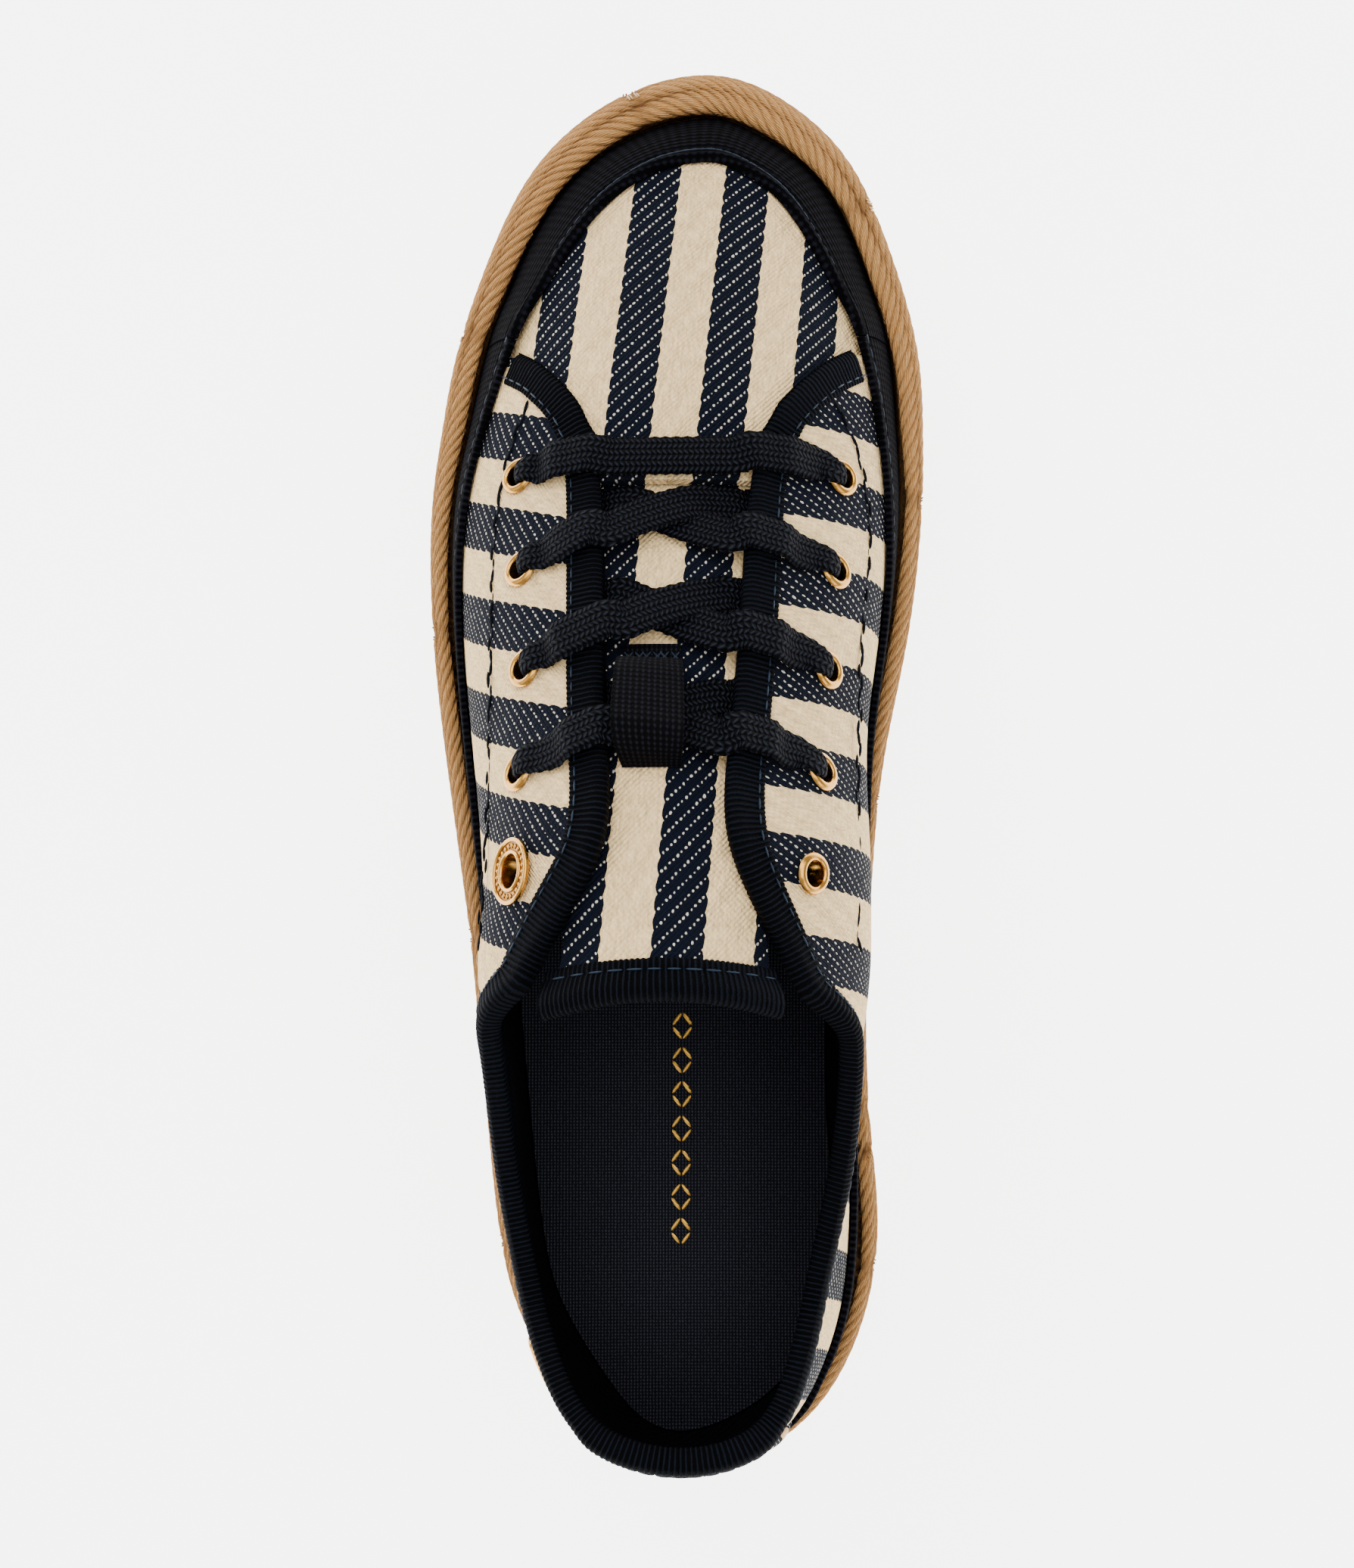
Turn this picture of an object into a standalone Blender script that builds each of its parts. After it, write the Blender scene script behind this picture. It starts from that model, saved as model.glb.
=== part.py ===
"""Lace-up canvas sneaker on a rope-wrapped flatform sole: the left shoe, built outwards from its last.

Lengths are in millimetres until a mesh is made. +Y is the toe, +X the medial side, +Z up, and the
sole stands on z = 0. Every piece is worked out from one surface, the last, whose sections run from
the sole edge up to the collar, or up to the ridge of instep and vamp.
"""

import math
from collections import namedtuple

import bmesh
import bpy
import numpy as np
from mathutils import Vector

MM = 0.001
# How far the tables' zero lies behind the middle of the shoe, where the origin is
AHEAD = 1.83
PART = "rope_sole_sneaker"
CUTTERS = "cutters"

# Clearances and thicknesses
GAP = 0.3
WALL = 1.6
QUARTER_STEP = 0.9
PATCH_STEP = 0.6
STEP_RUN = 0.35
FOXING = 1.2
TONGUE = 1.8
LACE = 1.2

# Heights above the floor, before the toe and heel spring is added
OUTSOLE_TOP = 2.8
CORE_BOTTOM = 3.1
CORE_TOP = 28.4
FEATHER = 29.8
ROPE_TOP = 34.0
INSOLE_TOP = 33.4

# Spring: the sole is flat between these two places along the shoe and lifts past them
TOE_BREAK, TOE_RISE, TOE_TIP = 55.0, 10.6, 132.5
HEEL_BREAK, HEEL_RISE, HEEL_BACK = -112.0, 1.8, -134.0

# One row for each section, heel to toe: the outer edge of the rope in plan (x on either side),
# how far in the rope's top edge lies, then the wall's first handle (height, and bulge on either
# side) and how far up the wall the foxing reaches.
Foot = namedtuple("Foot", "y lateral medial rim rise bulge_lateral bulge_medial foxing")
FEET = (
    Foot(-134.0, 1.0, 1.0, 3.9, 22.0, 4.4, 4.4, 14.0),
    Foot(-129.5, -12.2, 16.0, 3.9, 21.0, 4.0, 4.0, 14.0),
    Foot(-119.5, -20.9, 28.0, 3.9, 20.0, 2.5, 2.5, 14.0),
    Foot(-104.5, -29.4, 35.3, 3.9, 18.0, 1.5, 1.0, 14.0),
    Foot(-88.0, -33.6, 37.8, 3.9, 16.0, 1.0, 0.5, 14.0),
    Foot(-70.0, -35.6, 36.6, 3.9, 18.0, 1.5, 1.5, 14.0),
    Foot(-52.0, -37.4, 35.8, 4.0, 22.0, 2.0, 5.0, 14.0),
    Foot(-36.0, -39.0, 36.2, 4.0, 30.0, 1.5, 8.0, 14.0),
    Foot(-18.0, -41.4, 37.4, 4.0, 38.0, 1.0, 9.5, 14.0),
    Foot(2.0, -44.2, 39.8, 4.0, 36.0, 0.0, 4.5, 14.0),
    Foot(24.0, -46.6, 44.2, 4.0, 31.0, -0.5, 1.0, 14.0),
    Foot(46.0, -47.0, 46.8, 4.0, 24.0, -1.0, -1.0, 14.0),
    Foot(62.0, -45.3, 47.3, 4.7, 21.0, -2.2, -2.4, 14.5),
    Foot(78.0, -42.4, 46.4, 5.2, 18.0, -3.0, -3.2, 16.0),
    Foot(94.0, -37.1, 42.3, 5.8, 15.0, -3.5, -3.6, 17.5),
    Foot(107.5, -31.0, 37.1, 6.6, 12.0, -3.5, -3.5, 17.5),
    Foot(118.6, -22.4, 29.6, 7.6, 10.0, -3.0, -3.0, 16.8),
    Foot(127.2, -9.3, 18.0, 8.6, 9.0, -2.6, -2.6, 16.0),
    Foot(130.3, 5.4, 5.4, 8.6, 8.5, -2.4, -2.4, 15.6),
)

# The collar: the first rows' sections end on its edge. roll is the wall's slope there in degrees,
# 90 for upright, and reach the length of the handle.
Collar = namedtuple("Collar", "lateral_x lateral_y medial_x medial_y z roll reach")
COLLARS = (
    Collar(0.8, -117.0, 0.8, -117.0, 84.6, 75.0, 16.0),
    Collar(-9.2, -115.4, 10.2, -115.4, 83.6, 76.0, 15.0),
    Collar(-17.0, -110.5, 17.0, -110.5, 80.0, 78.0, 14.0),
    Collar(-22.5, -100.5, 21.5, -100.5, 74.0, 80.0, 12.0),
    Collar(-26.3, -87.5, 24.8, -87.5, 69.6, 82.0, 10.0),
    Collar(-29.2, -70.0, 28.0, -70.0, 73.2, 80.0, 12.0),
    Collar(-30.9, -51.0, 28.9, -51.5, 81.6, 76.0, 16.0),
    Collar(-25.5, -39.8, 21.5, -41.0, 88.6, 50.0, 20.0),
)

# The ridge: the other rows' sections meet on it. fan is the plan angle of the section there from
# straight ahead, and the throat columns are where the quarters stop short of the ridge.
Ridge = namedtuple("Ridge", "x y z fan reach throat_lateral throat_medial")
RIDGES = (
    Ridge(-1.8, -19.0, 94.5, 90.0, 27.0, -13.9, 10.3),
    Ridge(-1.5, 1.0, 85.3, 90.0, 24.0, -12.9, 10.0),
    Ridge(-0.9, 24.0, 76.0, 90.0, 23.0, -13.7, 12.2),
    Ridge(-0.3, 47.0, 64.8, 90.0, 22.0, -14.4, 14.0),
    Ridge(0.3, 60.0, 61.9, 90.0, 21.0, -15.5, 16.0),
    Ridge(1.0, 72.0, 59.3, 88.0, 20.0, -15.5, 16.0),
    Ridge(1.9, 82.0, 56.6, 84.0, 18.0, -15.5, 16.0),
    Ridge(2.8, 89.5, 54.6, 72.0, 16.0, -15.5, 16.0),
    Ridge(3.4, 93.5, 53.3, 54.0, 15.0, -15.5, 16.0),
    Ridge(3.8, 95.5, 52.7, 28.0, 13.5, -15.5, 16.0),
    Ridge(3.9, 96.0, 52.5, 0.0, 12.9, -15.5, 16.0),
)
TOE = len(FEET) - 1
LOOP = 2 * TOE
FIRST_RIDGE = len(COLLARS)
THROAT_FRONT = 11.0
THROAT_TOE_Y = 46.8
CREST_FALL = 0.05

# The quarter's front edge: distance from the centre line against distance along the shoe
QUARTER_FRONT_ACROSS = (15.6, 18.2, 21.4, 25.6, 30.6, 37.0, 48.0)
QUARTER_FRONT_Y = (55.0, 60.7, 64.8, 69.2, 73.0, 76.0, 78.5)

# Shares of the quarter's height at the rows of the upper's grid
UPPER_SHARES = np.linspace(0.0, 1.0, 8)

# The heel patch's half width as a share of the way round from the heel, at its foot and its top
PATCH_FOOT, PATCH_TOP = 1.7, 1.2

# The tongue's top surface, front to back: centre, half width, and how far its sides drop
TongueRow = namedtuple("TongueRow", "y x z half drop")
TONGUE_ROWS = (
    TongueRow(57.0, 0.1, 59.8, 16.0, 3.6),
    TongueRow(47.0, -0.3, 62.2, 18.0, 3.6),
    TongueRow(36.0, -0.6, 67.7, 19.0, 4.4),
    TongueRow(24.0, -0.9, 73.4, 19.5, 5.0),
    TongueRow(12.0, -1.2, 78.3, 20.0, 5.6),
    TongueRow(1.0, -1.5, 82.9, 19.6, 6.6),
    TongueRow(-9.0, -1.6, 87.5, 20.0, 7.0),
    TongueRow(-19.0, -1.8, 91.9, 19.4, 8.4),
    TongueRow(-26.0, -1.9, 94.4, 18.2, 10.4),
    TongueRow(-32.0, -1.9, 96.2, 17.0, 12.8),
    TongueRow(-36.5, -2.0, 97.4, 17.2, 10.8),
    TongueRow(-40.8, -1.9, 98.4, 18.2, 7.0),
)
TONGUE_SPACING = 5.2
TONGUE_TAPE_WIDTH = 5.4
LOOP_LATERAL, LOOP_MEDIAL = -10.3, 0.3

# Eyelets, front to back: y, then x on either side
Eyelet = namedtuple("Eyelet", "y lateral medial")
EYELETS = (
    Eyelet(48.8, -27.7, 28.9),
    Eyelet(30.8, -26.5, 27.0),
    Eyelet(12.7, -25.2, 25.0),
    Eyelet(-5.4, -25.3, 23.1),
    Eyelet(-22.0, -24.4, 21.1),
)

# The lateral row's last eyelet is a wide ring. A barrel is a little wider than its bore, and the
# hole in the wall a little wider than the barrel.
BORE_RADIUS, FLANGE_RADIUS = 2.1, 3.5
WIDE_BORE_RADIUS, RING_RADIUS = 2.8, 5.6
BARREL, HOLE_CLEARANCE = 0.4, 0.3

# Laces: width, and each strand's plan from the far throat edge to beside its eyelet, measured
# from the eyelet's row
LACE_WIDTH = 6.8
LATERAL_STRAND = ((12.4, 13.6), (0.0, 11.0), (-13.4, 5.6), (-20.0, 2.6), (-24.0, 1.2))
MEDIAL_STRAND = ((-12.4, 13.6), (-4.0, 10.2), (4.4, 6.6), (13.3, 4.2), (20.0, 2.4), (25.0, 1.2))

BINDING_WIDTH = 5.0
BINDING_THICK = 0.9
BINDING_OVER = 1.3

# The plaque on the lateral heel: its middle in sections from the heel, and as a share of the wall
PLAQUE_AT, PLAQUE_UP = 2.5, 0.74
PLAQUE_LENGTH, PLAQUE_HEIGHT, PLAQUE_THICK = 13.0, 8.5, 1.2

# Rope band: sides upright to here at the sides and at the tip, where its top rolls further in
ROPE_SHOULDER_SIDE, ROPE_SHOULDER_TIP = 30.2, 21.3
ROPE_SEAM = -4.8
FOXING_SEAM = 13.1
ROPE_SEAM_HALF = 0.012

CANVAS = ("cream_canvas", (0.72, 0.64, 0.49), 0.9, 0.0)
NAVY = ("navy_tape", (0.012, 0.017, 0.035), 0.85, 0.0)
ROPE = ("jute_rope", (0.42, 0.25, 0.11), 0.95, 0.0)
RUBBER = ("gum_rubber", (0.50, 0.33, 0.16), 0.6, 0.0)
CORE = ("core_foam", (0.60, 0.52, 0.40), 0.9, 0.0)
LACING = ("navy_braid", (0.010, 0.012, 0.022), 0.8, 0.0)
GOLD = ("gold_metal", (0.78, 0.55, 0.22), 0.25, 1.0)


class LoopSpline:
    """A smooth closed curve through rows of numbers, one row at each whole value of its parameter."""

    def __init__(self, rows):
        self.rows = np.array(rows, float)
        count = len(self.rows)
        ahead = np.roll(np.eye(count), 1, axis=1)
        bends = np.roll(self.rows, 1, axis=0) - 2 * self.rows + np.roll(self.rows, -1, axis=0)
        self.bends = np.linalg.solve(4 * np.eye(count) + ahead + ahead.T, 6 * bends)

    def __call__(self, at):
        at = np.asarray(at, float) % len(self.rows)
        before = np.floor(at).astype(int)
        after = (before + 1) % len(self.rows)
        on = (at - before)[..., None]
        back = 1 - on
        return (
            self.rows[before] * back
            + self.rows[after] * on
            + self.bends[before] * (back**3 - back) / 6
            + self.bends[after] * (on**3 - on) / 6
        )


def unit(vectors):
    return vectors / np.linalg.norm(vectors, axis=-1, keepdims=True)


def spring(y):
    """Lift of the sole at y: none along the flat, then a parabola to toe and heel."""
    toe = np.clip((y - TOE_BREAK) / (TOE_TIP - TOE_BREAK), 0, None)
    heel = np.clip((y - HEEL_BREAK) / (HEEL_BACK - HEEL_BREAK), 0, None)
    return TOE_RISE * toe**2 + HEEL_RISE * heel**2


def around(lateral, medial):
    """Joins a lateral and a medial column, heel to toe, into one that runs round the shoe."""
    return list(lateral) + list(medial)[-2:0:-1]


def ease(t):
    t = np.clip(t, 0, 1)
    return t * t * (3 - 2 * t)


OUTLINE = LoopSpline(
    np.column_stack(
        [
            around([f.lateral for f in FEET], [f.medial for f in FEET]),
            around([f.y for f in FEET], [f.y for f in FEET]),
        ]
    )
)
RIMS = LoopSpline(np.column_stack([around([f.rim for f in FEET], [f.rim for f in FEET])]))


def from_heel(a):
    """Sections from the heel, on either side, of a place round the shoe."""
    return TOE - abs(np.asarray(a, float) % LOOP - TOE)


def cover(a):
    """How far the quarter stands proud of the vamp under the foxing, eased off past its front."""
    front = THROAT_FRONT + 2.2
    return QUARTER_STEP * (1 - ease((from_heel(a) - front) / 0.8))


def heel_cover(a):
    """The same for the heel patch."""
    return PATCH_STEP * (1 - ease((from_heel(a) - PATCH_FOOT - 0.1) / 0.5))


def plan_edge(a, inset):
    """The rope's outline in plan at a, moved in by inset."""
    step = 0.01
    along = OUTLINE(np.asarray(a) + step) - OUTLINE(np.asarray(a) - step)
    along = unit(along)
    inward = np.stack([along[..., 1], -along[..., 0]], axis=-1)
    return OUTLINE(a) + inward * np.asarray(inset)[..., None]


def raised(plan, height):
    """Points over a plan position at a height above the sprung sole."""
    z = np.asarray(height) + spring(plan[..., 1])
    return np.concatenate([plan, np.broadcast_to(z, plan.shape[:-1])[..., None]], axis=-1)


def section_handles():
    """The four control points of each section, as rows round the shoe, and the throat's edge in x."""
    rows = []
    ridge_points = np.array([[r.x, r.y, r.z] for r in RIDGES])
    slopes = unit(np.gradient(ridge_points, axis=0) * [0, 1, 1])
    for medial in (False, True):
        side = []
        for i, foot in enumerate(FEET):
            a = LOOP - i if medial else i
            bulge = foot.bulge_medial if medial else foot.bulge_lateral
            inset = foot.rim + 2 * GAP + FOXING + cover(a) + heel_cover(a)
            base = raised(plan_edge(a, inset), FEATHER)
            outward = unit(plan_edge(a, 0.0) - plan_edge(a, 1.0))
            first = base + np.append(outward * bulge, foot.rise)
            if i < FIRST_RIDGE:
                c = COLLARS[i]
                end = np.array([c.medial_x, c.medial_y, c.z] if medial else [c.lateral_x, c.lateral_y, c.z])
                roll = math.radians(c.roll)
                away = np.append(unit(base[:2] - end[:2]) * math.cos(roll), -math.sin(roll))
                reach, throat = c.reach, end[0]
            else:
                r = RIDGES[i - FIRST_RIDGE]
                end = ridge_points[i - FIRST_RIDGE]
                fan = math.radians(r.fan)
                across = np.array([1.0 if medial else -1.0, 0, 0])
                away = math.cos(fan) * slopes[i - FIRST_RIDGE] + math.sin(fan) * across
                reach, throat = r.reach, r.throat_medial if medial else r.throat_lateral
            side.append(np.concatenate([base, first, end + reach * away, end, [foot.foxing, throat]]))
        rows.append(side)
    return around(rows[0], rows[1])


HANDLES = LoopSpline(section_handles())


def skin(a, v):
    """Points of the last at places a round the shoe and v up the section, 0 at the sole, 1 at its end."""
    handles = HANDLES(a)
    v = np.asarray(v, float)[..., None]
    w = 1 - v
    base, first, second, end = (handles[..., k : k + 3] for k in (0, 3, 6, 9))
    return w**3 * base + 3 * w * w * v * first + 3 * w * v * v * second + v**3 * end


def outward(a, v):
    """Outward normals of the last."""
    step = 0.01
    v = np.clip(v, step, 1 - 3 * step)
    along = skin(np.asarray(a) + step, v) - skin(np.asarray(a) - step, v)
    up = skin(a, v + step) - skin(a, v - step)
    return unit(np.cross(up, along))


def layer(a, v, height):
    """Points at a height over the last."""
    return skin(a, v) + outward(a, v) * np.asarray(height, float)[..., None]


def solve(function, low, high, rounds=40):
    """Where a rising function crosses zero, for arrays of brackets."""
    low, high = np.array(low, float), np.array(high, float)
    for _ in range(rounds):
        middle = (low + high) / 2
        under = function(middle) < 0
        low, high = np.where(under, middle, low), np.where(under, high, middle)
    return (low + high) / 2


def along_section(a, length):
    """v at a length up the section from the sole."""
    v = np.linspace(0, 1, 80)
    found = []
    for one, want in np.broadcast(a, length):
        points = skin(np.full(v.shape, one), v)
        run = np.append(0, np.cumsum(np.linalg.norm(np.diff(points, axis=0), axis=1)))
        found.append(np.interp(want, run, v))
    return np.array(found)


def foxing_top(a):
    return along_section(a, HANDLES(a)[..., 12])


def crest(a):
    """v of the quarter's top edge: the section's end at the collar, short of the ridge at the throat."""
    a = np.asarray(a, float)
    s = np.minimum(from_heel(a), THROAT_FRONT)
    held = np.where(a < 0, -s, s)
    throat = HANDLES(held)[..., 13]
    v = solve(lambda t: abs(throat) - abs(skin(held, t)[..., 0]), np.full(a.shape, 0.5), np.ones(a.shape))
    past = np.minimum(from_heel(a) - s, 2.0)
    return np.where(s <= FIRST_RIDGE - 1, 1.0, v) - CREST_FALL * past


def quarter_front(share, side):
    """Section number of the quarter's front edge at a share of the height of its top edge."""
    share = np.asarray(share, float)

    def past(s):
        point = skin(side * s, share * crest(side * s))
        centre = np.interp(point[..., 1], [r.y for r in RIDGES], [r.x for r in RIDGES])
        return point[..., 1] - np.interp(abs(point[..., 0] - centre), QUARTER_FRONT_ACROSS, QUARTER_FRONT_Y)

    return solve(past, np.full(share.shape, THROAT_FRONT), np.full(share.shape, 15.0))


def foot_of(point, a, v):
    """Place (a, v) on the last nearest to a point, from a first guess."""
    step = 0.002
    for _ in range(8):
        at = skin(a, v)
        slopes = np.column_stack(
            [(skin(a + step, v) - at) / step, (skin(a, v + step) - at) / step]
        )
        moved = np.linalg.lstsq(slopes, point - at, rcond=None)[0]
        a, v = a + moved[0], min(max(v + moved[1], 0.0), 1.2)
    return a, v


def over_plan(x, y):
    """Place (a, v) on the last over a plan position beside the throat."""
    side = -1.0 if x > 0 else 1.0
    a, v = side * 10.0, 0.6
    for _ in range(12):
        at = skin(a, v)
        a, v = foot_of(np.array([x, y, at[2]]), a, v)
    return a, v


def material_of(look):
    name, colour, roughness, metallic = look
    found = bpy.data.materials.get(name)
    if found:
        return found
    made = bpy.data.materials.new(name)
    made.use_nodes = True
    shader = made.node_tree.nodes["Principled BSDF"]
    shader.inputs["Base Color"].default_value = (*colour, 1.0)
    shader.inputs["Roughness"].default_value = roughness
    shader.inputs["Metallic"].default_value = metallic
    made.diffuse_color = (*colour, 1.0)
    return made


def finish(name, bm, look, parts):
    """Makes an object of a bmesh in millimetres, welded, with its faces turned outwards."""
    bmesh.ops.remove_doubles(bm, verts=bm.verts, dist=0.002)
    bmesh.ops.scale(bm, vec=(MM, MM, MM), verts=bm.verts)
    bmesh.ops.recalc_face_normals(bm, faces=bm.faces)
    mesh = bpy.data.meshes.new(name)
    bm.to_mesh(mesh)
    bm.free()
    mesh.shade_smooth()
    mesh.set_sharp_from_angle(angle=math.radians(40))
    mesh.materials.append(material_of(look))
    made = bpy.data.objects.new(name, mesh)
    parts.objects.link(made)
    return made


def patched(name, grids, look, parts, caps=()):
    """A closed body from grids of points that share their borders, and flat caps."""
    bm = bmesh.new()
    for grid in grids:
        corners = [[bm.verts.new(p) for p in line] for line in np.asarray(grid)]
        for first, second in zip(corners, corners[1:]):
            for k in range(len(first) - 1):
                bm.faces.new((first[k], first[k + 1], second[k + 1], second[k]))
    for cap in caps:
        bm.faces.new([bm.verts.new(p) for p in cap])
    return finish(name, bm, look, parts)


def swept(name, rings, look, parts):
    """A body from rings of points, joined one to the next, with a cap at either end."""
    rings = np.concatenate([rings, rings[:, :1]], axis=1)
    return patched(name, [rings], look, parts, caps=(rings[0, :-1], rings[-1, :-1]))


def shell_columns(shares):
    """Places round the shoe for the upper's grid, toe to heel to toe, at each share of its height.

    Two columns stand close together on either side of the heel patch's edge and of the quarter's
    front, so that each is a step in the wall.
    """
    side = []
    for sign in (-1, 1):
        patch = PATCH_FOOT + (PATCH_TOP - PATCH_FOOT) * shares
        front = quarter_front(shares, sign)
        throat = np.full(len(shares), THROAT_FRONT)
        columns = [patch * k / 3 for k in range(4)]
        columns += [patch + 0.03 + (throat - patch - 0.03) * k / 16 for k in range(16)]
        columns += [throat + (front - throat) * k / 3 for k in range(4)]
        ahead = front + STEP_RUN / 14.0
        columns += [ahead + (TOE - ahead) * (k / 9.0) for k in range(10)]
        side.append(np.array(columns) * sign)
    return np.concatenate([side[0][:0:-1], side[1]])


def upper(parts):
    """The hollow canvas wall: a grid over the last and one inside it, joined along their free edges."""
    shares, high = UPPER_SHARES, 4
    columns = shell_columns(shares)
    count = len(columns)
    crests = crest(columns)
    levels = np.where(abs(columns) <= quarter_limit(shares, columns), QUARTER_STEP, 0.0)
    levels = levels + np.where(abs(columns) <= patch_limit(shares) + 0.01, PATCH_STEP, 0.0)
    v = crests * shares
    outer, inner = layer(columns, v, levels), layer(columns, v, -WALL)
    for grid in (outer, inner):
        grid[0] = grid[-1] = (grid[0] + grid[-1]) / 2

    grids = [outer, inner, np.stack([outer[:, 0], inner[:, 0]], axis=1)]
    front = [k for k in range(count) if abs(columns[k, -1]) >= THROAT_FRONT - 1e-6]
    lateral = [k for k in front if columns[k, -1] > 0]
    medial = [k for k in front if columns[k, -1] < 0][::-1]
    edge = list(range(medial[0], lateral[0] + 1))
    grids.append(np.stack([outer[edge, -1], inner[edge, -1]], axis=1))

    tops = []
    for side in (lateral, medial):
        a = columns[side, -1]
        start = crests[side, -1]
        rows = np.stack([start + 0.008 + (0.992 - start) * k / (high - 1) for k in range(high)], axis=1)
        rows[:, -1] = 1.0
        spread = np.repeat(a[:, None], high, axis=1)
        over, under = layer(spread, rows, 0.0 * rows), layer(spread, rows, 0.0 * rows - WALL)
        over = np.concatenate([outer[side, -1][:, None], over], axis=1)
        under = np.concatenate([inner[side, -1][:, None], under], axis=1)
        tops.append((over, under))
    for left, right in zip(*tops):
        left[:, -1] = right[:, -1] = (left[:, -1] + right[:, -1]) / 2
        left[-1] = right[-1] = (left[-1] + right[-1]) / 2
    for over, under in tops:
        grids += [over, under, np.stack([over[0], under[0]], axis=1)]
    made = patched("upper", grids, CANVAS, parts)
    punch(made, parts)
    return made


def quarter_limit(shares, columns):
    """Section number up to which the quarter's step runs, at each share of its height."""
    lateral, medial = quarter_front(shares, 1), quarter_front(shares, -1)
    return np.where(columns < 0, medial, lateral) + 1e-4


def patch_limit(shares):
    return PATCH_FOOT + (PATCH_TOP - PATCH_FOOT) * shares


def punch(made, parts):
    """Cuts the eyelet holes through the quarters."""
    cutters = bpy.data.collections[CUTTERS]
    bm = bmesh.new()
    for eyelet in EYELETS:
        wide = eyelet is EYELETS[-1]
        for x, bore in (
            (eyelet.lateral, WIDE_BORE_RADIUS if wide else BORE_RADIUS),
            (eyelet.medial, BORE_RADIUS),
        ):
            hole = (bore + BARREL + HOLE_CLEARANCE) * MM
            at, normal = eyelet_seat(x, eyelet.y)
            turn = Vector(normal).to_track_quat("Z", "Y").to_matrix().to_4x4()
            turn.translation = Vector(at * MM)
            bmesh.ops.create_cone(
                bm, cap_ends=True, segments=12, radius1=hole, radius2=hole, depth=14 * MM, matrix=turn
            )
    mesh = bpy.data.meshes.new("eyelet_punches")
    bm.to_mesh(mesh)
    bm.free()
    punches = bpy.data.objects.new("eyelet_punches", mesh)
    punches.hide_render = True
    punches.display_type = "WIRE"
    cutters.objects.link(punches)
    cut = made.modifiers.new("eyelet_holes", "BOOLEAN")
    cut.operation = "DIFFERENCE"
    cut.solver = "EXACT"
    cut.object = punches


def eyelet_seat(x, y):
    """Point on the quarter's face, and its normal, over a plan position."""
    a, v = over_plan(x, y)
    return layer(a, v, QUARTER_STEP), outward(a, v)


def eyelet(name, x, y, flange, bore, parts):
    """A turned eyelet: a rounded flange on the quarter's face and a barrel through the wall."""
    at, normal = eyelet_seat(x, y)
    lift = GAP + 0.12
    foot = -WALL - QUARTER_STEP + 0.2
    profile = (
        (bore, foot),
        (bore, lift + 0.5),
        (bore + 0.5, lift + 0.8),
        (flange - 0.4, lift + 0.6),
        (flange, lift),
        (bore + BARREL, lift),
        (bore + BARREL, foot),
    )
    bm = bmesh.new()
    corners = [bm.verts.new((r * MM, 0, z * MM)) for r, z in profile]
    for first, second in zip(corners, corners[1:] + corners[:1]):
        bm.edges.new((first, second))
    mesh = bpy.data.meshes.new(name)
    bm.to_mesh(mesh)
    bm.free()
    mesh.materials.append(material_of(GOLD))
    made = bpy.data.objects.new(name, mesh)
    made.location = Vector(at * MM)
    made.rotation_euler = Vector(normal).to_track_quat("Z", "Y").to_euler()
    parts.objects.link(made)
    turn = made.modifiers.new("turn", "SCREW")
    turn.steps = turn.render_steps = 12
    turn.use_merge_vertices = True
    turn.merge_threshold = 0.00001
    turn.use_smooth_shade = True
    return made


def foxing_strip(name, look, places, rows, parts):
    """A strip over the foot of the upper, from the feather line up to its own top edge."""
    v = np.outer(foxing_top(places), np.linspace(0, 1, rows))
    a = np.repeat(places[:, None], rows, axis=1)
    lift = cover(a) + heel_cover(a) + GAP
    inner, outer = layer(a, v, lift), layer(a, v, lift + FOXING)
    rings = np.concatenate([outer, inner[:, ::-1]], axis=1)
    return swept(name, rings, look, parts)


def rope_profile(a):
    """The rope band's section at each place: insets from the outline, and heights."""
    rim = RIMS(a)[..., 0]
    handles = HANDLES(a)
    base, first = handles[..., 0:3], handles[..., 3:6]
    plan_out = unit(plan_edge(a, 0 * rim) - plan_edge(a, 0 * rim + 1))
    inward = -np.sum((first - base)[..., :2] * plan_out, axis=-1)
    lean = inward / (first - base)[..., 2]
    roll = np.clip((rim - 3.9) / 6.5, 0, 1)
    shoulder = ROPE_SHOULDER_SIDE + (ROPE_SHOULDER_TIP - ROPE_SHOULDER_SIDE) * roll
    inner_top = rim - 0.25 + lean * 3.4
    crown = inner_top - 1.5
    insets, heights = [], []

    def add(inset, height):
        insets.append(inset + 0 * rim)
        heights.append(height + 0 * rim)

    add(0.0, CORE_BOTTOM)
    for degrees in (0, 30, 60, 90):
        turn = math.radians(degrees)
        add(crown * (1 - math.cos(turn)), shoulder + (ROPE_TOP - shoulder) * math.sin(turn))
    add(inner_top - 0.3, ROPE_TOP - 0.6)
    add(inner_top, ROPE_TOP - 1.5)
    add(rim - 0.25, FEATHER - 0.2)
    add(3.8, 18.0)
    add(3.8, CORE_BOTTOM)
    return np.stack(insets, axis=-1), np.stack(heights, axis=-1)


def ring_points(a, insets, heights):
    """Points at insets from the outline and heights, one ring for each place round the shoe."""
    spread = np.repeat(a[:, None], insets.shape[1], axis=1)
    return raised(plan_edge(spread, insets), heights)


def rope_wrap(parts):
    """The braided band round the platform, butt-joined on the medial side."""
    places = np.linspace(ROPE_SEAM + ROPE_SEAM_HALF, ROPE_SEAM + LOOP - ROPE_SEAM_HALF, 67)
    insets, heights = rope_profile(places)
    return swept("rope_wrap", ring_points(places, insets, heights), ROPE, parts)


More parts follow.
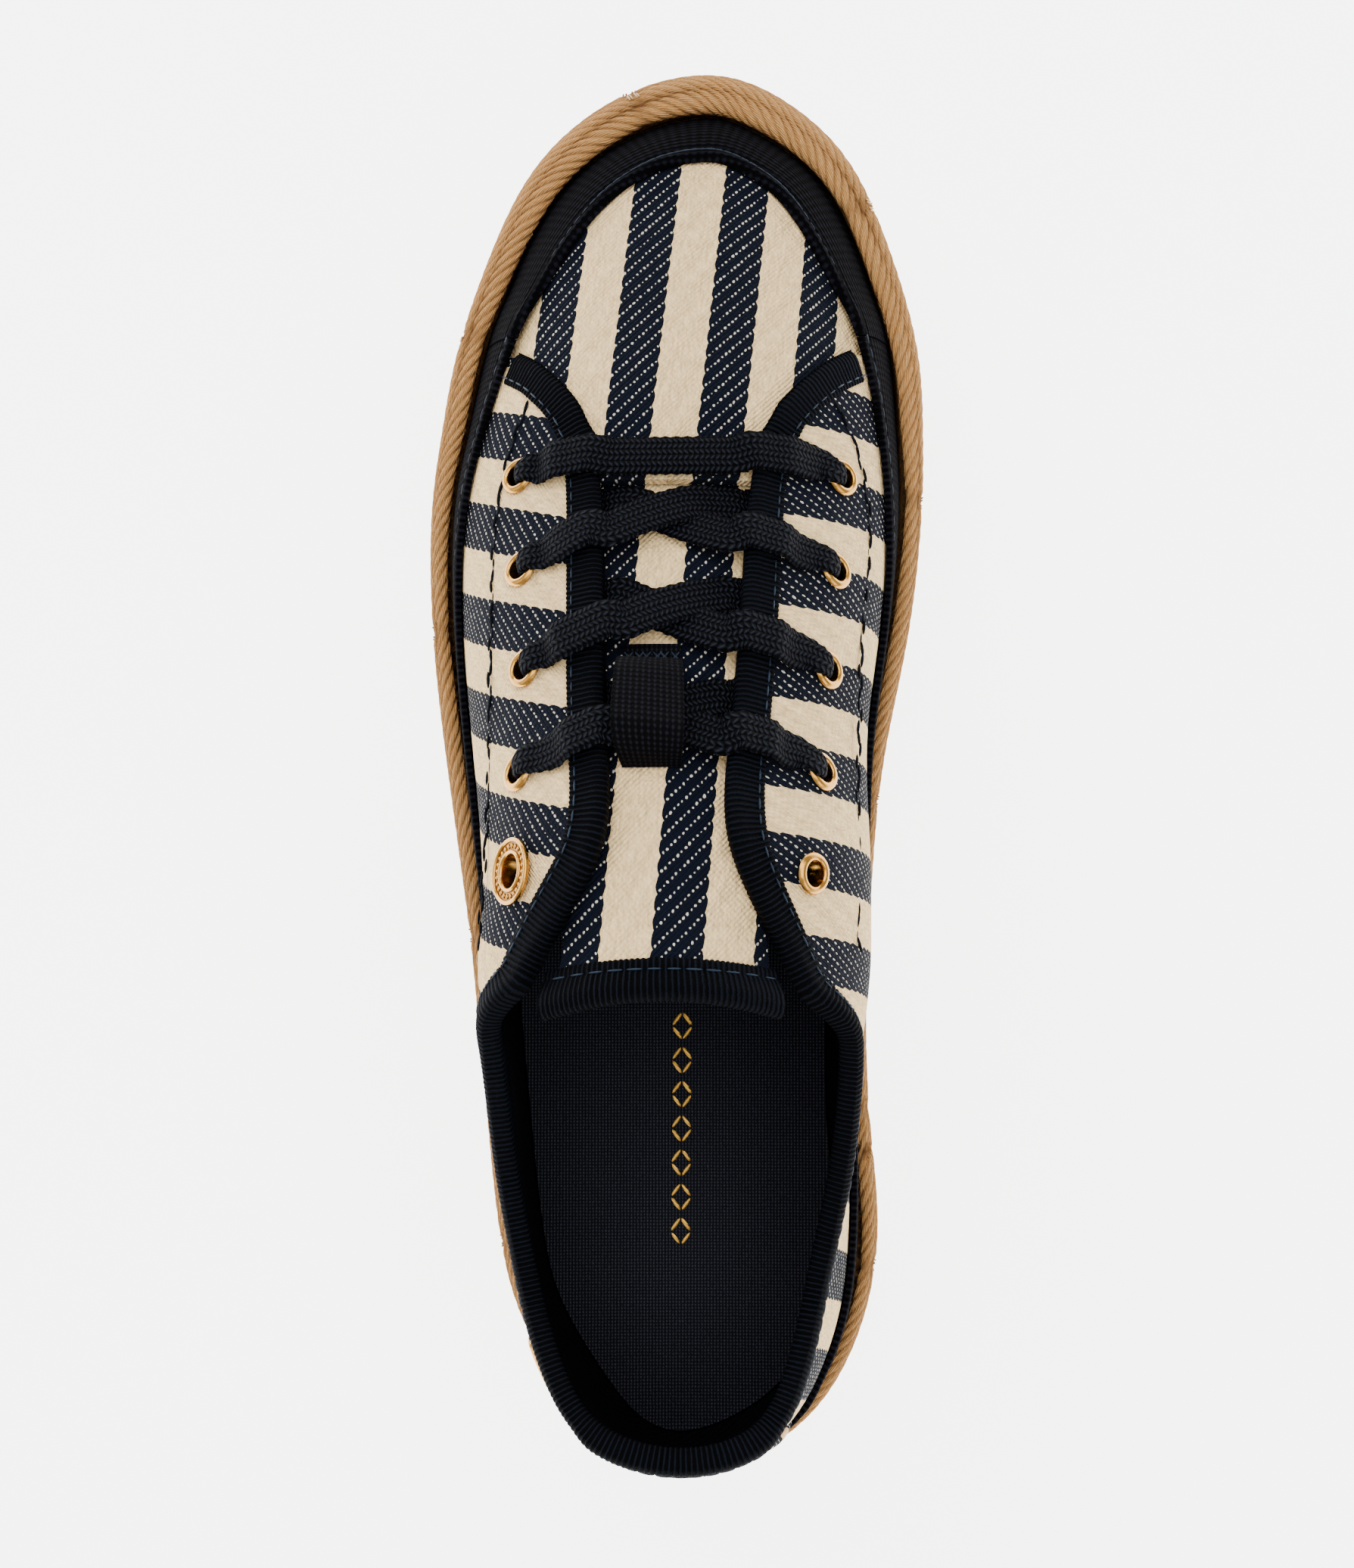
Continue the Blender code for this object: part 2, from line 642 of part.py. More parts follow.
def sole_body(name, insets, heights, look, parts):
    """A sole layer: rings up its side, each joined across by rungs at its top and bottom."""
    half = [k * 0.5 for k in range(2 * TOE + 1)]
    places = np.array(half + [-h for h in half[-2:0:-1]])
    rings = ring_points(places, insets(places), heights + np.zeros((len(places), 1)))
    return rung_body(name, rings, len(half), look, parts)


def rung_body(name, rings, half, look, parts):
    """A body from rings round the shoe, closed above and below by rungs from side to side."""
    count = len(rings)
    wall = np.concatenate([rings, rings[:1]])
    grids = [wall]
    mirrored = [(-k) % count for k in range(half)]
    for level in (0, -1):
        left = rings[np.arange(half), level]
        right = rings[mirrored, level]
        grids.append(np.stack([left, right], axis=1))
    return patched(name, grids, look, parts)


def outsole(parts):
    def insets(a):
        return np.tile([1.3, 0.3, 0.3], (len(a), 1))

    return sole_body("outsole", insets, np.array([[0.0, 0.9, OUTSOLE_TOP]]), RUBBER, parts)


def midsole(parts):
    def insets(a):
        rim = RIMS(a)
        return np.concatenate([0 * rim + 4.3, 0 * rim + 4.3, rim + 0.6], axis=1)

    return sole_body("midsole", insets, np.array([[CORE_BOTTOM, 17.8, CORE_TOP]]), CORE, parts)


def insole(parts):
    half = [k * 0.5 for k in range(2 * TOE + 1)]
    places = np.array(half + [-h for h in half[-2:0:-1]])
    v = np.stack([0 * places, along_section(places, INSOLE_TOP - FEATHER)], axis=1)
    a = np.repeat(places[:, None], 2, axis=1)
    return rung_body("insole", layer(a, v, 0 * v - WALL - GAP - 0.25), len(half), NAVY, parts)


def binding_path():
    """Places along the tape's edge: up the lateral quarter front, round throat and collar, and down."""
    fine = np.linspace(0.3, 1.0, 141)
    path = []
    for side in (1, -1):
        fronts = quarter_front(fine, side) * side
        clear = fine * crest(fronts) > foxing_top(fronts) + 0.05
        foot = fine[clear][0]
        shares = np.append(foot, UPPER_SHARES[UPPER_SHARES > foot + 0.03])
        fronts = quarter_front(shares, side) * side
        run = list(zip(fronts, shares * crest(fronts)))
        edge = shell_columns(np.ones(1))[:, 0] * side
        edge = np.sort(edge[(edge > 1e-6) & (edge < abs(fronts[-1]) - 1e-3)])[::-1] * side
        run += list(zip(edge, crest(edge)))
        path.append(run)
    return np.array(path[0] + [(0.0, 1.0)] + path[1][::-1])


def collar_binding(parts):
    """The tape: a leg on the quarter's face and a fold over its edge."""
    path = binding_path()
    points = skin(path[:, 0], path[:, 1])
    along = unit(np.gradient(points, axis=0))
    rings = []
    for (a, v), point, tangent in zip(path, points, along):
        normal = outward(a, v)
        away = unit(np.cross(tangent, normal))
        foot = foot_of(point + BINDING_WIDTH * away, a, v)
        face, lean = skin(*foot), outward(*foot)
        step = QUARTER_STEP + PATCH_STEP * (1 - ease((abs(a) - PATCH_TOP - 0.25) / 0.5))
        low = step + GAP + 0.3
        top = low + BINDING_THICK
        open_edge = ease((THROAT_FRONT - 0.1 - abs(a)) / 0.25)
        tuck = GAP + 0.05 - (WALL + GAP) * open_edge
        over = lambda out, height: point - out * away + height * normal
        rings.append(
            [
                face + low * lean,
                face + top * lean - 0.5 * away,
                over(0.3, top),
                over(BINDING_OVER, top - 0.6),
                over(BINDING_OVER, tuck),
                over(GAP, tuck),
                over(GAP, low),
            ]
        )
    return swept("collar_binding", np.array(rings), NAVY, parts)


def tongue_top(y, across):
    """Points on the tongue's top surface, across from -1 to 1."""
    ys = [row.y for row in TONGUE_ROWS][::-1]
    x, z, half, drop = (
        smooth_interp(y, ys, [getattr(row, name) for row in TONGUE_ROWS][::-1])
        for name in ("x", "z", "half", "drop")
    )
    width = half * across
    return np.stack([x + width, y + 0 * across, z - drop * (width / 20.0) ** 2], axis=-1)


def smooth_interp(at, xs, values):
    """Piecewise cubic through a short table, with slopes from its neighbours."""
    xs, values = np.array(xs, float), np.array(values, float)
    slopes = np.gradient(values, xs)
    k = np.clip(np.searchsorted(xs, at) - 1, 0, len(xs) - 2)
    width = xs[k + 1] - xs[k]
    t = (at - xs[k]) / width
    return (
        values[k] * (1 + 2 * t) * (1 - t) ** 2
        + slopes[k] * width * t * (1 - t) ** 2
        + values[k + 1] * t * t * (3 - 2 * t)
        + slopes[k + 1] * width * t * t * (t - 1)
    )


def tongue_layer(y, across, height):
    """Points at a height over the tongue's top surface."""
    step = 0.01
    along = tongue_top(y + step, across) - tongue_top(y - step, across)
    side = tongue_top(y, across + step) - tongue_top(y, across - step)
    return tongue_top(y, across) + unit(np.cross(side, along)) * np.asarray(height)[..., None]


def tongue(parts):
    ys = np.arange(TONGUE_ROWS[-1].y, TONGUE_ROWS[0].y, TONGUE_SPACING)
    y, across = np.meshgrid(ys, np.linspace(-1, 1, 8), indexing="ij")
    top, bottom = tongue_layer(y, across, 0 * y), tongue_layer(y, across, 0 * y - TONGUE)
    rings = np.concatenate([top, bottom[:, ::-1]], axis=1)
    return swept("tongue", rings, CANVAS, parts)


def tongue_binding(parts):
    """The tape folded over the tongue's upper end."""
    end = TONGUE_ROWS[-1].y
    bend = end + TONGUE_SPACING
    profile = (
        (bend, GAP + 0.05),
        (end + TONGUE_TAPE_WIDTH, GAP + 0.1),
        (end + TONGUE_TAPE_WIDTH, GAP + 0.8),
        (bend, GAP + 0.85),
        (end - 0.3, GAP + 0.8),
        (end - 1.1, 0.0),
        (end - 1.1, -TONGUE),
        (end - 0.3, -TONGUE - GAP - 0.8),
        (end + 3.0, -TONGUE - GAP - 0.8),
        (end + 3.0, -TONGUE - GAP),
        (end - GAP, -TONGUE - GAP),
        (end - GAP, GAP),
    )
    rings = []
    for across in (-1.015, *np.linspace(-1, 1, 8)[1:-1], 1.015):
        rings.append([tongue_layer(np.float64(y), np.float64(across), h) for y, h in profile])
    return swept("tongue_binding", np.array(rings), NAVY, parts)


def tongue_loop(parts):
    """The tape stitched down on the tongue that holds the laces."""
    ys = (16.2, 13.4, 11.4, 9.6, 6.0, 2.0, -1.5, -3.0, -4.2)
    heights = (0.0, 0.0, 3.2, 4.6, 5.4, 5.8, 5.7, 4.4, 0.0)
    rings = []
    for y, height in zip(ys, heights):
        half = smooth_interp(y, [r.y for r in TONGUE_ROWS][::-1], [r.half for r in TONGUE_ROWS][::-1])
        centre = smooth_interp(y, [r.y for r in TONGUE_ROWS][::-1], [r.x for r in TONGUE_ROWS][::-1])
        across = (np.linspace(LOOP_LATERAL, LOOP_MEDIAL, 4) - centre) / half
        rows = np.full(4, float(y))
        height = height * np.linspace(1.45, 1.0, 4)
        low = tongue_layer(rows, across, height + GAP + 0.05)
        high = tongue_layer(rows, across, height + GAP + 1.0)
        rings.append(np.concatenate([low, high[::-1]]))
    return swept("tongue_loop", np.array(rings), NAVY, parts)


def throat_edge(y, side):
    """Distance from the centre plane of the binding's inner face at y, on one side of the throat."""
    column = [r.throat_medial if side > 0 else -r.throat_lateral for r in RIDGES[:5]]
    return float(np.interp(y, [r.y for r in RIDGES[:5]], column)) - BINDING_OVER


def over_quarter(x, y, margin):
    """Middle of a lace over the quarter, clear of the binding near the edge, and the normal there."""
    a, v = over_plan(x, y)
    from_edge = float(np.linalg.norm(skin(a, v) - skin(a, float(crest(a)))))
    down = ease((from_edge - BINDING_WIDTH - margin) / 2.0)
    height = QUARTER_STEP + GAP + 0.15 + (BINDING_THICK + GAP + 0.6) * (1 - down)
    return layer(a, v, height + LACE / 2), outward(a, v)


def laid_lace(name, points, normals, parts):
    """A flat braid along points, its face turned up along the normals."""
    along = unit(np.gradient(points, axis=0))
    across = unit(np.cross(unit(normals), along))
    up = np.cross(along, across)
    half, rise = across * LACE_WIDTH / 2, up * LACE / 2
    edge = across * (LACE_WIDTH / 2 - 0.5)
    corners = (half, edge + rise, rise - edge, -half, -edge - rise, edge - rise)
    return swept(name, np.stack([points + corner for corner in corners], axis=1), LACING, parts)


def strand(name, row, side, level, parts):
    """A lace from the far throat edge over the near one to its eyelet, raised by level in between."""
    plan = LATERAL_STRAND if side < 0 else MEDIAL_STRAND
    xs, ys = np.array(plan).T
    end = side * ((row.medial if side > 0 else -row.lateral) - FLANGE_RADIUS - 0.5)
    start = -side * (throat_edge(row.y + ys[0], -side) - 2.2)
    path = np.linspace(start, end, 13)
    order = np.argsort(xs)
    y = np.minimum(row.y + smooth_interp(path, xs[order], ys[order]), THROAT_TOE_Y - 4.2)
    inner = np.array([throat_edge(at, side) for at in y])
    near = np.flatnonzero(side * path >= inner - 1.2)
    points, normals = np.zeros((len(path), 3)), np.zeros((len(path), 3))
    for k in near:
        points[k], normals[k] = over_quarter(path[k], y[k], 0.4)
    first = near[0]
    low = over_tongue(path[0], y[0])
    for k in range(first):
        t = k / first
        floor = over_tongue(path[k], y[k])[2]
        height = (1 - t) * low[2] + t * points[first, 2] + level * math.sin(math.pi * t)
        points[k] = path[k], y[k], max(height, floor)
        normals[k] = unit((1 - t) * np.array([-side * 0.2, 0.42, 0.9]) + t * normals[first])
    return laid_lace(name, points, normals, parts)


def over_tongue(x, y):
    """Lowest place for a lace's middle over the tongue."""
    ys = [r.y for r in TONGUE_ROWS][::-1]
    half = smooth_interp(y, ys, [r.half for r in TONGUE_ROWS][::-1])
    centre = smooth_interp(y, ys, [r.x for r in TONGUE_ROWS][::-1])
    return tongue_layer(np.float64(y), np.float64((x - centre) / half), GAP + 0.25 + LACE / 2)


def lace_cross(name, row, parts):
    """Two strands that cross over the tongue, the lateral one on top, joined where they meet."""
    made = strand(name, row, -1, 0.5, parts)
    under = strand(name + "_under", row, 1, -0.3, bpy.data.collections[CUTTERS])
    under.hide_render = True
    under.display_type = "WIRE"
    join = made.modifiers.new("join", "BOOLEAN")
    join.operation = "UNION"
    join.solver = "EXACT"
    join.object = under


def lace_bar(parts):
    """The first lace, straight across over both throat edges."""
    row = EYELETS[0]
    ends = (row.lateral + FLANGE_RADIUS + 0.5, row.medial - FLANGE_RADIUS - 0.5)
    path = np.linspace(ends[0], ends[1], 17)
    y = np.interp(path, (ends[0], -12.0, 12.0, ends[1]), (row.y + 0.6, row.y + 2.2, row.y + 2.4, row.y + 1.4))
    beside = abs(path) >= 12.5
    points, normals = np.zeros((len(path), 3)), np.zeros((len(path), 3))
    for k in np.flatnonzero(beside):
        points[k], normals[k] = over_quarter(path[k], y[k], 1.6)
    for k in np.flatnonzero(~beside):
        for values in (points, normals):
            values[k] = [np.interp(path[k], path[beside], values[beside, axis]) for axis in range(3)]
        points[k, :2] = path[k], y[k]
    laid_lace("lace_bar", points, normals, parts)


def heel_plaque(parts):
    """A plain metal patch below the collar on the lateral side of the heel."""
    across, up = np.meshgrid(np.linspace(-1, 1, 8), np.linspace(-1, 1, 5), indexing="ij")
    a = PLAQUE_AT + across * (1 - 0.08 * up**4) * PLAQUE_LENGTH / 23.0
    v = PLAQUE_UP + up * (1 - 0.08 * across**4) * PLAQUE_HEIGHT / 104.0
    low = layer(a, v, 0 * a + QUARTER_STEP + GAP)
    high = layer(a, v, 0 * a + QUARTER_STEP + GAP + PLAQUE_THICK)
    rings = np.concatenate([low, high[:, ::-1]], axis=1)
    return swept("heel_plaque", rings, GOLD, parts)


def main():
    for old in list(bpy.context.scene.objects):
        bpy.data.objects.remove(old, do_unlink=True)
    for name in (PART, CUTTERS):
        bpy.context.scene.collection.children.link(bpy.data.collections.new(name))
    parts = bpy.data.collections[PART]
    bpy.data.collections[CUTTERS].hide_render = True

    outsole(parts)
    midsole(parts)
    rope_wrap(parts)
    side = FOXING_SEAM - 0.015
    foxing_strip("foxing", NAVY, np.linspace(-side, side, 59), 4, parts)
    side = FOXING_SEAM + 0.015
    foxing_strip("toe_guard", NAVY, np.linspace(side, LOOP - side, 29), 5, parts)
    upper(parts)
    insole(parts)
    collar_binding(parts)
    tongue(parts)
    tongue_binding(parts)
    tongue_loop(parts)
    for number, row in enumerate(EYELETS, start=1):
        wide = number == len(EYELETS)
        eyelet(f"eyelet_lateral_{number}", row.lateral, row.y, RING_RADIUS if wide else FLANGE_RADIUS,
               WIDE_BORE_RADIUS if wide else BORE_RADIUS, parts)
        eyelet(f"eyelet_medial_{number}", row.medial, row.y, FLANGE_RADIUS, BORE_RADIUS, parts)
    lace_bar(parts)
    for number, row in enumerate(EYELETS[1:4], start=2):
        lace_cross(f"lace_cross_{number}", row, parts)
    heel_plaque(parts)
    for made in (*parts.objects, *bpy.data.collections[CUTTERS].objects):
        made.location.y += AHEAD * MM


main()
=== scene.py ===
"""How a lace-up canvas sneaker on a rope-wrapped flatform sole looks: the left shoe.

Lengths are in millimetres until a mesh is made. +Y is the toe, +X the medial side, +Z up, and the
sole stands on z = 0. Every cloth piece is worked out from one surface, the last.
"""

import logging
import math
from collections.abc import Callable, Iterable
from dataclasses import dataclass
from enum import Enum
from typing import NamedTuple

import bmesh
import bpy
import numpy as np
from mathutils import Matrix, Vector


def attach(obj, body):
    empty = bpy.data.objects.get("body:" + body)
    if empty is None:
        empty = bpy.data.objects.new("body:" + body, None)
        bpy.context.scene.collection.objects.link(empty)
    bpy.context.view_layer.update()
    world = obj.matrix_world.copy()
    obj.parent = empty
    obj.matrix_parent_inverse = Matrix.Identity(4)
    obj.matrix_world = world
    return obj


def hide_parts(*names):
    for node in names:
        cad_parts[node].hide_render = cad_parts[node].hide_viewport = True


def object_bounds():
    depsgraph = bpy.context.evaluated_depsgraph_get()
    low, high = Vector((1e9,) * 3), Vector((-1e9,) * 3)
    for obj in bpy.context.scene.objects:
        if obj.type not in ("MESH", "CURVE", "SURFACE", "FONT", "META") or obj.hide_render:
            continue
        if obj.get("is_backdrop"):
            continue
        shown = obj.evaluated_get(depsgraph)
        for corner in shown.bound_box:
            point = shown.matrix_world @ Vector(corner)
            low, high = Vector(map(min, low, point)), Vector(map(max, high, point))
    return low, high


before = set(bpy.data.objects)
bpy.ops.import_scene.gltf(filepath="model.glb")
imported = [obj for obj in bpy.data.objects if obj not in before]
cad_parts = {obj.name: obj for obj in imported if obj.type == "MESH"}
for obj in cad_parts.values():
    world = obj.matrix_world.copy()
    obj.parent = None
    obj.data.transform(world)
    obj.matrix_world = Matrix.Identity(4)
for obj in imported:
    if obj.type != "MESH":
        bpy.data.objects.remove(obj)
CAD_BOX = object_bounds()
LOG = logging.getLogger("sneaker")
Array = np.ndarray
Piece, Tree, Node = bpy.types.Object, bpy.types.NodeTree, bpy.types.Node
MATH, VECTOR, PARTS = "ShaderNodeMath", "ShaderNodeVectorMath", "ShaderNodeSeparateXYZ"
NOISE, RANGE, MIX, BUMP = "ShaderNodeTexNoise", "ShaderNodeMapRange", "ShaderNodeMix", "ShaderNodeBump"
MM = 0.001
# How far the tables' zero lies behind the middle of the shoe, where the origin is
AHEAD = 1.83

# Clearances and thicknesses
GAP = 0.3
WALL = 1.6
QUARTER_STEP = 0.9
PATCH_STEP = 0.6
STEP_RUN = 0.35
FOXING = 1.2
TONGUE = 1.8
LACE = 1.2

# Heights above the floor, before the toe and heel spring is added
CORE_BOTTOM = 3.1
FEATHER = 29.8
ROPE_TOP = 34.0
INSOLE_TOP = 33.4

# Spring: the sole is flat between these two places along the shoe and lifts past them
TOE_BREAK, TOE_RISE, TOE_TIP = 55.0, 10.6, 132.5
HEEL_BREAK, HEEL_RISE, HEEL_BACK = -112.0, 1.8, -134.0


class Foot(NamedTuple):
    """A section's start: the rope's outer edge in plan, its rim, the wall's handle, the foxing."""

    y: float
    lateral: float
    medial: float
    rim: float
    rise: float
    bulge_lateral: float
    bulge_medial: float
    foxing: float


FEET = tuple(map(Foot._make, (
    (-134, 1, 1, 3.9, 22, 4.4, 4.4, 14),
    (-129.5, -12.2, 16, 3.9, 21, 4, 4, 14),
    (-119.5, -20.9, 28, 3.9, 20, 2.5, 2.5, 14),
    (-104.5, -29.4, 35.3, 3.9, 18, 1.5, 1, 14),
    (-88, -33.6, 37.8, 3.9, 16, 1, 0.5, 14),
    (-70, -35.6, 36.6, 3.9, 18, 1.5, 1.5, 14),
    (-52, -37.4, 35.8, 4, 22, 2, 5, 14),
    (-36, -39, 36.2, 4, 30, 1.5, 8, 14),
    (-18, -41.4, 37.4, 4, 38, 1, 9.5, 14),
    (2, -44.2, 39.8, 4, 36, 0, 4.5, 14),
    (24, -46.6, 44.2, 4, 31, -0.5, 1, 14),
    (46, -47, 46.8, 4, 24, -1, -1, 14),
    (62, -45.3, 47.3, 4.7, 21, -2.2, -2.4, 14.5),
    (78, -42.4, 46.4, 5.2, 18, -3, -3.2, 16),
    (94, -37.1, 42.3, 5.8, 15, -3.5, -3.6, 17.5),
    (107.5, -31, 37.1, 6.6, 12, -3.5, -3.5, 17.5),
    (118.6, -22.4, 29.6, 7.6, 10, -3, -3, 16.8),
    (127.2, -9.3, 18, 8.6, 9, -2.6, -2.6, 16),
    (130.3, 5.4, 5.4, 8.6, 8.5, -2.4, -2.4, 15.6),
)))


class Collar(NamedTuple):
    """A section's end on the collar: where it is, the wall's slope there and the handle's length."""

    lateral_x: float
    lateral_y: float
    medial_x: float
    medial_y: float
    z: float
    roll: float
    reach: float


COLLARS = tuple(map(Collar._make, (
    (0.8, -117, 0.8, -117, 84.6, 75, 16),
    (-9.2, -115.4, 10.2, -115.4, 83.6, 76, 15),
    (-17, -110.5, 17, -110.5, 80, 78, 14),
    (-22.5, -100.5, 21.5, -100.5, 74, 80, 12),
    (-26.3, -87.5, 24.8, -87.5, 69.6, 82, 10),
    (-29.2, -70, 28, -70, 73.2, 80, 12),
    (-30.9, -51, 28.9, -51.5, 81.6, 76, 16),
    (-25.5, -39.8, 21.5, -41, 88.6, 50, 20),
)))


class Ridge(NamedTuple):
    """A section's end on the ridge of instep and vamp, and the throat's edge on either side."""

    x: float
    y: float
    z: float
    fan: float
    reach: float
    throat_lateral: float
    throat_medial: float


RIDGES = tuple(map(Ridge._make, (
    (-1.8, -19, 94.5, 90, 27, -13.9, 10.3),
    (-1.5, 1, 85.3, 90, 24, -12.9, 10),
    (-0.9, 24, 76, 90, 23, -13.7, 12.2),
    (-0.3, 47, 64.8, 90, 22, -14.4, 14),
    (0.3, 60, 61.9, 90, 21, -15.5, 16),
    (1, 72, 59.3, 88, 20, -15.5, 16),
    (1.9, 82, 56.6, 84, 18, -15.5, 16),
    (2.8, 89.5, 54.6, 72, 16, -15.5, 16),
    (3.4, 93.5, 53.3, 54, 15, -15.5, 16),
    (3.8, 95.5, 52.7, 28, 13.5, -15.5, 16),
    (3.9, 96, 52.5, 0, 12.9, -15.5, 16),
)))
TOE = len(FEET) - 1
LOOP = 2 * TOE
FIRST_RIDGE = len(COLLARS)
THROAT_FRONT = 11.0
THROAT_TOE_Y = 46.8
CREST_FALL = 0.05

# Columns of a section's handles after its four points: the foxing's reach and the throat's edge
FOXING_REACH, THROAT_EDGE = 12, 13
# About how far apart the sections lie round the shoe
SECTION_RUN = 14.0
# From a navy stripe's edge to its middle, and from there to the foxing on the heel patch
HALF_NAVY, PATCH_SHIFT = 4.15, 4.4
# The canvas's repeat of stripes, and how far apart they come as it is stretched over each part
REPEAT, VAMP_REPEAT, LATERAL_REPEAT, MEDIAL_REPEAT = 17.0, 16.6, 16.6, 17.35
# A drop over this is a share of the foxing's height, counted from it
SHARES = 1000.0

# The quarter's front edge: distance from the centre line against distance along the shoe
QUARTER_FRONT_ACROSS = (15.6, 18.2, 21.4, 25.6, 30.6, 37.0, 48.0)
QUARTER_FRONT_Y = (55.0, 60.7, 64.8, 69.2, 73.0, 76.0, 78.5)
PATCH_FOOT, PATCH_TOP = 1.7, 1.2


class TongueRow(NamedTuple):
    """The tongue's top surface across at y: centre, half width, and how far its sides drop."""

    y: float
    x: float
    z: float
    half: float
    drop: float


TONGUE_ROWS = tuple(map(TongueRow._make, (
    (-40.8, -1.9, 98.4, 18.2, 7),
    (-36.5, -2, 97.4, 17.2, 10.8),
    (-32, -1.9, 96.2, 17, 12.8),
    (-26, -1.9, 94.4, 18.2, 10.4),
    (-19, -1.8, 91.9, 19.4, 8.4),
    (-9, -1.6, 87.5, 20, 7),
    (1, -1.5, 82.9, 19.6, 6.6),
    (12, -1.2, 78.3, 20, 5.6),
    (24, -0.9, 73.4, 19.5, 5),
    (36, -0.6, 67.7, 19, 4.4),
    (47, -0.3, 62.2, 18, 3.6),
    (57, 0.1, 59.8, 16, 3.6),
)))
TONGUE_TAPE_WIDTH = 5.4
LOOP_LATERAL, LOOP_MEDIAL = -8.8, 0.6


class Eyelet(NamedTuple):
    """A row of eyelets: y, then x on either side."""

    y: float
    lateral: float
    medial: float


EYELETS = tuple(map(Eyelet._make, (
    (48.8, -27.7, 28.9),
    (30.8, -26.5, 27),
    (12.7, -25.2, 25),
    (-5.4, -25.3, 23.1),
    (-22, -24.4, 21.1),
)))
# Stitches beside the eyelets: y, then x on either side
STAY_SEAM = ((62, -26.7, 28.5), (55, -29.3, 32), (46, -31.2, 34), (20, -32, 32.5), (-10, -32, 30),
             (-34, -31.5, 28.5))
FLANGE_RADIUS, HOLE_RADIUS, WIDE_HOLE_RADIUS = 3.5, 2.8, 3.5

# Laces: each strand's plan from the far throat edge to beside its eyelet, from the eyelet's row
LACE_WIDTH = 7.4
LATERAL_STRAND = ((12.4, 13.6), (0.0, 11.0), (-13.4, 5.6), (-20.0, 2.6), (-24.0, 1.2))
MEDIAL_STRAND = ((-12.4, 13.6), (-4.0, 10.2), (4.4, 6.6), (13.3, 4.2), (20.0, 2.4), (25.0, 1.2))

BINDING_WIDTH = 5.0
BINDING_THICK = 0.9
BINDING_OVER = 1.3
PLAQUE_AT, PLAQUE_UP = 2.5, 0.74
PLAQUE_LENGTH, PLAQUE_HEIGHT, PLAQUE_THICK = 13.0, 8.5, 1.2
ROPE_SHOULDER_SIDE, ROPE_SHOULDER_TIP = 30.2, 21.3
ROPE_SEAM = -4.8
FOXING_SEAM = 13.1


class Side(Enum):
    """Which side of the shoe, as the sign of a place round it."""

    LATERAL = 1
    MEDIAL = -1


def unit(vectors: Array) -> Array:
    """Vectors of length one along the given ones."""
    return vectors / np.maximum(np.linalg.norm(vectors, axis=-1, keepdims=True), 1e-9)


def ease(t: Array | float) -> Array:
    """A smooth step from 0 to 1."""
    t = np.clip(t, 0, 1)
    return t * t * (3 - 2 * t)


def spring(y: Array) -> Array:
    """Lift of the sole at y: none along the flat, then a parabola to toe and heel."""
    toe = np.clip((y - TOE_BREAK) / (TOE_TIP - TOE_BREAK), 0, None)
    heel = np.clip((y - HEEL_BREAK) / (HEEL_BACK - HEEL_BREAK), 0, None)
    return TOE_RISE * toe**2 + HEEL_RISE * heel**2


def metres(points: Array) -> Array:
    """Points of the tables' frame in metres from the origin."""
    return (np.asarray(points) + (0.0, AHEAD, 0.0)) * MM


def run_of(points: Array) -> Array:
    """Length along a line of points at each of them."""
    return np.append(0.0, np.cumsum(np.linalg.norm(np.diff(points, axis=0), axis=-1)))


def cubic(at: Array | float, xs: Array, values: Array) -> Array:
    """Reads a short table as a smooth curve.

    Args:
        at: Where to read it.
        xs: The table's rising first column.
        values: The table's other columns, one row for each x.

    Returns:
        The values there, from cubics whose slopes come from each row's neighbours.
    """
    at, xs, values = np.asarray(at, float), np.array(xs, float), np.array(values, float)
    slopes = np.gradient(values, xs, axis=0)
    k = np.clip(np.searchsorted(xs, at) - 1, 0, len(xs) - 2)
    width = xs[k + 1] - xs[k]
    t = (at - xs[k]) / width
    tail = (1,) * (values.ndim - 1)
    t, width = t.reshape(t.shape + tail), width.reshape(width.shape + tail)
    return (
        values[k] * (1 + 2 * t) * (1 - t) ** 2
        + slopes[k] * width * t * (1 - t) ** 2
        + values[k + 1] * t * t * (3 - 2 * t)
        + slopes[k + 1] * width * t * t * (t - 1)
    )


def threaded(rows: Array, spacing: float) -> Array:
    """Evenly spaced rows on a smooth curve.

    Args:
        rows: Points the curve runs through, with any other values after x, y and z.
        spacing: Length between the new rows.

    Returns:
        The new rows.
    """
    run = run_of(rows[:, :3])
    return cubic(np.linspace(0, run[-1], max(3, int(run[-1] / spacing))), run, rows)


def solve(function: Callable[[Array], Array], low: Array, high: Array, rounds: int = 40) -> Array:
    """Finds where a rising function crosses zero.

    Args:
        function: The function, of an array.
        low: Lower ends of the brackets.
        high: Upper ends of the brackets.
        rounds: How many times each bracket is halved.

    Returns:
        The crossing in each bracket.
    """
    low, high = np.array(low, float), np.array(high, float)
    for _ in range(rounds):
        middle = (low + high) / 2
        under = function(middle) < 0
        low, high = np.where(under, middle, low), np.where(under, high, middle)
    return (low + high) / 2


